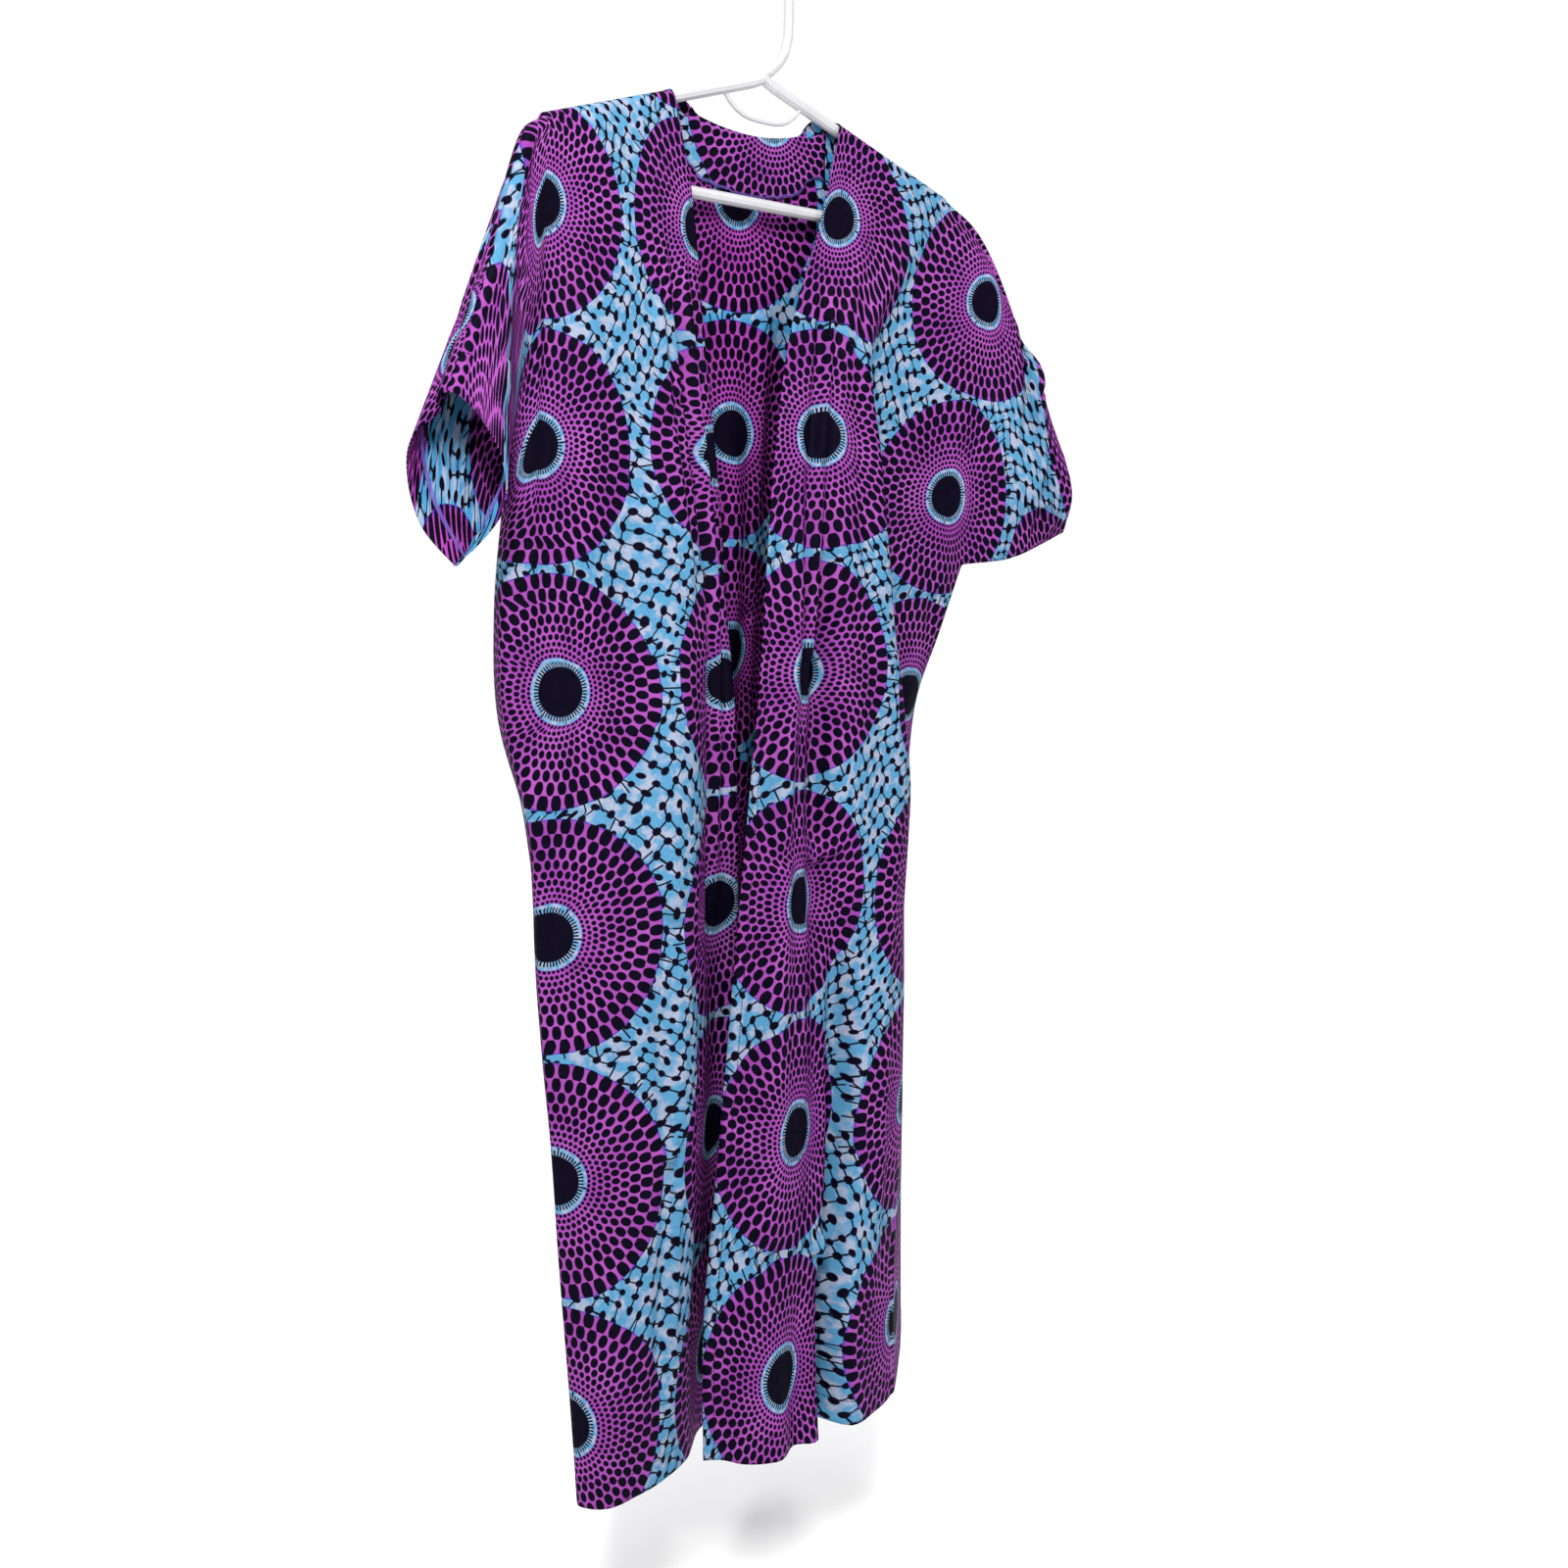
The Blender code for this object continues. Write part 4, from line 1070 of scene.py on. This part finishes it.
def gapInk(paint, cloth, across, height):
    # dots and wavy lines between the discs
    sizes = gapSizes
    elsewhere = paint.add("ShaderNodeVectorMath", {"operation": "ADD"},
                          {0: cloth, 1: sizes["elsewhere"]})
    fine, wide = sizes["waves"]
    waveX, waveY = [
        paint.grain(place, fine[0], 0.0) * fine[1] + paint.grain(place, wide[0], 0.0) * wide[1]
        for place in (cloth, elsewhere)]
    cosine, sine = math.cos(sizes["slant"]), math.sin(sizes["slant"])
    x = (across * cosine + height * sine) / sizes["dotPitch"] + waveX
    y = (height * cosine - across * sine) / sizes["dotPitch"] + waveY
    dotX, dotY = x.maths("ROUND"), y.maths("ROUND")
    offX, offY = x - dotX, y - dotY
    ink = (offX * offX + offY * offY).maths("SQRT").below(*sizes["dotRadius"])
    level, upright = sizes["lineShares"]
    for off, drawn in ((offY, paint.someOf(x.maths("FLOOR"), dotY + 40.0, level)),
                       (offX, paint.someOf(dotX + 80.0, y.maths("FLOOR"), upright))):
        ink = ink.maths("MAXIMUM", abs(off).below(*sizes["lineWidth"]) * drawn)
    return ink


def printShade(paint, tones, cloth, across, height):
    sizes, soft = printSizes, printSizes["soft"]
    spot = discSpot(paint, cloth, across, height)
    radius, turn, columnNumber, rowNumber = spot
    dots, tails = ovalDots(paint, spot)
    navy = paint.mix(paint.patches(cloth, "worn"), tones["navy"], tones["navyWorn"])

    gap = paint.mix(paint.patches(cloth, "blotch"), tones["blue"], tones["pale"])
    cracks = paint.add("ShaderNodeTexVoronoi", {"feature": "DISTANCE_TO_EDGE"},
                       {"Vector": cloth, "Scale": gapSizes["crackScale"]})
    cracked = cracks.below(*gapSizes["crackWidth"]) * gapSizes["crackTone"]
    gap = paint.mix(cracked, gap, tones["crackle"])
    ink = gapInk(paint, cloth, across, height).maths("MAXIMUM", tails)
    shade = paint.mix(ink, gap, navy)

    pink = paint.mix(paint.patches(cloth, "deep"), tones["pink"], tones["pinkDeep"])
    pink = paint.mix(radius.above(sizes["disc"] - sizes["rim"], soft), pink, tones["violet"])
    shade = paint.mix(radius.below(sizes["disc"], soft), shade, paint.mix(dots, pink, navy))

    # the marbled ring and the navy centre with its fine teeth
    marble = paint.mix(paint.patches(cloth, "marble"), tones["blue"], tones["pale"])
    tooth = turn * sizes["teethAround"]
    toothNumber = tooth.maths("ROUND")
    toothLine = abs(tooth - toothNumber).below(*sizes["toothWidth"])
    teeth = toothLine * radius.below(sizes["centre"] + sizes["toothLength"], soft)
    reach = paint.chance(toothNumber, rowNumber * 2.0 + columnNumber)
    reach = reach.above(sizes["longTeeth"], 0.01)
    marble = paint.mix(teeth.maths("MAXIMUM", toothLine * reach), marble, navy)
    ringRim = radius.above(sizes["ring"] - sizes["ringRim"], soft)
    marble = paint.mix(ringRim, marble, tones["violet"])
    shade = paint.mix(radius.below(sizes["ring"], soft), shade, marble)
    return paint.mix(radius.below(sizes["centre"], soft), shade, navy)


def waxPrint(name, tones, overlock=None):
    # dotted-disc wax print on the cloth's own map, with its stitching; overlock is a raw edge's
    # distance from the hem and its half width
    paint = Paint(name)
    sizes = clothSizes
    cloth = paint.add("ShaderNodeUVMap", {"uv_map": "print"})
    across, height = paint.split(cloth)
    fromEdge, fromHem = paint.split(paint.add("ShaderNodeUVMap", {"uv_map": "trim"}))
    shade = printShade(paint, tones, cloth, across, height)

    stitchRun = ((across + height) / sizes["stitchPitch"]).maths("FRACT").below(*sizes["stitchRun"])
    hemStitch = abs(fromHem - robe["hem"] + sizes["stitchIn"]).below(*sizes["stitchWidth"])
    edgeStitch = abs(fromEdge - sizes["edgeStitch"]).below(*sizes["stitchWidth"])
    stitch = (hemStitch * stitchRun).maths("MAXIMUM", edgeStitch * stitchRun)
    shade = paint.mix(stitch * sizes["stitchTone"], shade, tones["navyWorn"])
    if overlock:
        band = abs(fromHem - overlock[0]).below(overlock[1], 0.0005)
        loops = ((across - height) / sizes["loopPitch"]).maths("FRACT") - 0.5
        least, more = sizes["loopTone"]
        band = band * (least + abs(loops).below(*sizes["loopWidth"]) * more)
        shade = paint.mix(band, shade, sizes["thread"])

    # weave, slubs, soft creasing and the puckers beside stitching
    perWeave = 2.0 * math.pi / sizes["weavePitch"]
    weave = (across * perWeave).maths("SINE") * (height * perWeave).maths("SINE")
    slub = paint.grain(cloth, *sizes["slub"])
    soft = paint.grain(cloth, *sizes["softCreases"])
    sewn = fromHem.below(*sizes["hemPucker"]).maths("MAXIMUM", fromEdge.below(*sizes["edgePucker"]))
    pucker = paint.grain(cloth, *sizes["pucker"]) * sewn
    relief = weave * 0.04 + slub * 0.10 + pucker * 0.9 + soft * 0.9 - stitch * 0.5
    paint.join(paint.shader, {
        "Base Color": shade,
        "Roughness": sizes["roughness"][0] + (slub - 0.5) * sizes["roughness"][1],
        "Normal": paint.bump(*sizes["bump"], relief),
        "Specular IOR Level": sizes["specular"],
    })
    return paint.material


plastic = {
    "white": colour(174, 174, 178),
    "dusty": colour(163, 163, 168),
    "mould": (90.0, 3.0),
    "roughness": (0.30, 0.14, 0.12),  # smooth, and what mould marks and scuffs add
    "bump": (0.10, 0.0003),
    "scuffHeight": 0.4,
    "coat": (0.25, 0.2),
}


def hangerPlastic():
    paint = Paint("hangerPlastic")
    spot = paint.add("ShaderNodeTexCoord", None, None, 3)
    mould = paint.grain(spot, *plastic["mould"])
    scuff = paint.patches(spot, "scuff")
    smooth, moulded, scuffed = plastic["roughness"]
    paint.join(paint.shader, {
        "Base Color": paint.mix(paint.patches(spot, "dust"), plastic["white"], plastic["dusty"]),
        "Roughness": smooth + mould * moulded + scuff * scuffed,
        "Normal": paint.bump(*plastic["bump"], mould + scuff * plastic["scuffHeight"]),
        "Coat Weight": plastic["coat"][0],
        "Coat Roughness": plastic["coat"][1],
    })
    return paint.material


printOuter = waxPrint("waxPrintOuter", rightTones)
# the inside's print: its tones painted more saturated for the light that shines through the cloth,
# with the real overlocked edge
printInnerShineThrough = waxPrint("waxPrintInnerShineThrough", wrongSideShineThroughTones, (0.0205, 0.0022))
facingCloth = waxPrint("waxPrintFacing", rightTones, (0.0012, 0.0010))
print("materials made")

frontLeft = buildPanel("frontLeftCloth", leftFront, leftCreases)
frontRight = buildPanel("frontRightCloth", rightFront, rightCreases)
backCloth = buildPanel("backCloth", backPanel, backCreases)
neckFacing = buildFacing()

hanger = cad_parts["hanger"]
hanger.data.materials.clear()
hanger.data.materials.append(hangerPlastic())

# each piece of cloth: its node, slot, sizes, what it rests on, its right side and wrong side
clothPieces = (
    (frontLeft, "front_left", "wax_print_left", leftFront, "hanger", printOuter, printInnerShineThrough),
    (frontRight, "front_right", "wax_print_right", rightFront, "hanger", printOuter, printInnerShineThrough),
    (backCloth, "back", "wax_print_back", backPanel, "hanger", printOuter, printInnerShineThrough),
    (neckFacing, "neck_facing", "wax_print_facing", facingSizes, backCloth, facingCloth,
     facingCloth),
)
for piece, node, slotName, made, rest, outer, inner in clothPieces:
    piece.data.materials.append(outer)
    piece.data.materials.append(inner)
    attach(piece, "root")
    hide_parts(node)
print("cloth made")

# Studio: pale floor, soft light, level camera from the front left
studio = {
    "floorZ": -1.300,
    "floorHalf": 30.0,
    "floor": colour(251, 251, 252),
    "camera": (-0.754, -0.958, -0.490),
    "yaw": math.radians(-39.0),
    "lens": 34.67,
    "sensor": 36.0,
    "shiftY": -0.1406,
    "backdrop": 1.0,           # light from behind the robe, and from the room in front of it
    "room": 0.66,
    "backdropFrom": (-0.2, 0.5),
    "floorLight": 0.9,
    "floorLightAngle": math.radians(25.0),
}

# (name, place, aim, size, power, colour)
areaLights = (
    ("keyLight", (-1.05, -1.25, 0.75), (0.0, 0.0, -0.15), 0.7, 62.0, (1.0, 0.985, 0.965)),
    ("fillLight", (1.8, -2.2, -0.1), (0.0, 0.0, -0.6), 2.4, 3.0, (0.96, 0.98, 1.0)),
)


def buildFloor():
    floor = bmesh.new()
    bmesh.ops.create_grid(floor, x_segments=4, y_segments=4, size=studio["floorHalf"])
    bmesh.ops.translate(floor, verts=floor.verts, vec=(0.0, 0.0, studio["floorZ"]))
    data = bpy.data.meshes.new("studioFloor")
    floor.to_mesh(data)
    floor.free()
    paint = Paint("studioFloorPaint")
    paint.join(paint.shader, {"Base Color": studio["floor"], "Roughness": 0.8})
    data.materials.append(paint.material)
    addItem("studioFloor", data)


def buildWorld():
    # a bright backdrop behind the robe, a dimmer room in front of it
    world = bpy.data.worlds.new("studioWorld")
    world.use_nodes = True
    tree = world.node_tree
    direction = tree.nodes.new("ShaderNodeTexCoord")
    along = tree.nodes.new("ShaderNodeVectorMath")
    along.operation = "DOT_PRODUCT"
    along.inputs[1].default_value = (-math.sin(studio["yaw"]), math.cos(studio["yaw"]), 0.0)
    fade = tree.nodes.new("ShaderNodeMapRange")
    low, high = studio["backdropFrom"]
    for key, value in (("From Min", low), ("From Max", high),
                       ("To Min", studio["room"]), ("To Max", studio["backdrop"])):
        fade.inputs[key].default_value = value
    sky = tree.nodes["Background"]
    sky.inputs["Color"].default_value = (1.0, 1.0, 1.0, 1.0)
    tree.links.new(direction.outputs["Generated"], along.inputs[0])
    tree.links.new(along.outputs["Value"], fade.inputs["Value"])
    tree.links.new(fade.outputs["Result"], sky.inputs["Strength"])
    bpy.context.scene.world = world


def buildLights():
    for name, place, aim, size, power, tint in areaLights:
        data = bpy.data.lights.new(name, "AREA")
        data.size = size
        data.energy = power
        data.color = tint
        item = addItem(name, data)
        item.location = place
        item.rotation_euler = (Vector(aim) - Vector(place)).to_track_quat("-Z", "Y").to_euler()
    data = bpy.data.lights.new("floorLight", "SUN")  # straight down, for the floor
    data.energy = studio["floorLight"]
    data.angle = studio["floorLightAngle"]
    addItem("floorLight", data)


def buildCamera():
    data = bpy.data.cameras.new("photoCamera")
    data.lens = studio["lens"]
    data.sensor_width = studio["sensor"]
    data.shift_y = studio["shiftY"]
    item = addItem("photoCamera", data)
    item.location = studio["camera"]
    item.rotation_euler = (math.pi / 2.0, 0.0, studio["yaw"])
    bpy.context.scene.camera = item


buildFloor()
buildWorld()
buildLights()
buildCamera()
bpy.context.scene.view_settings.view_transform = "Standard"
print("studio made")
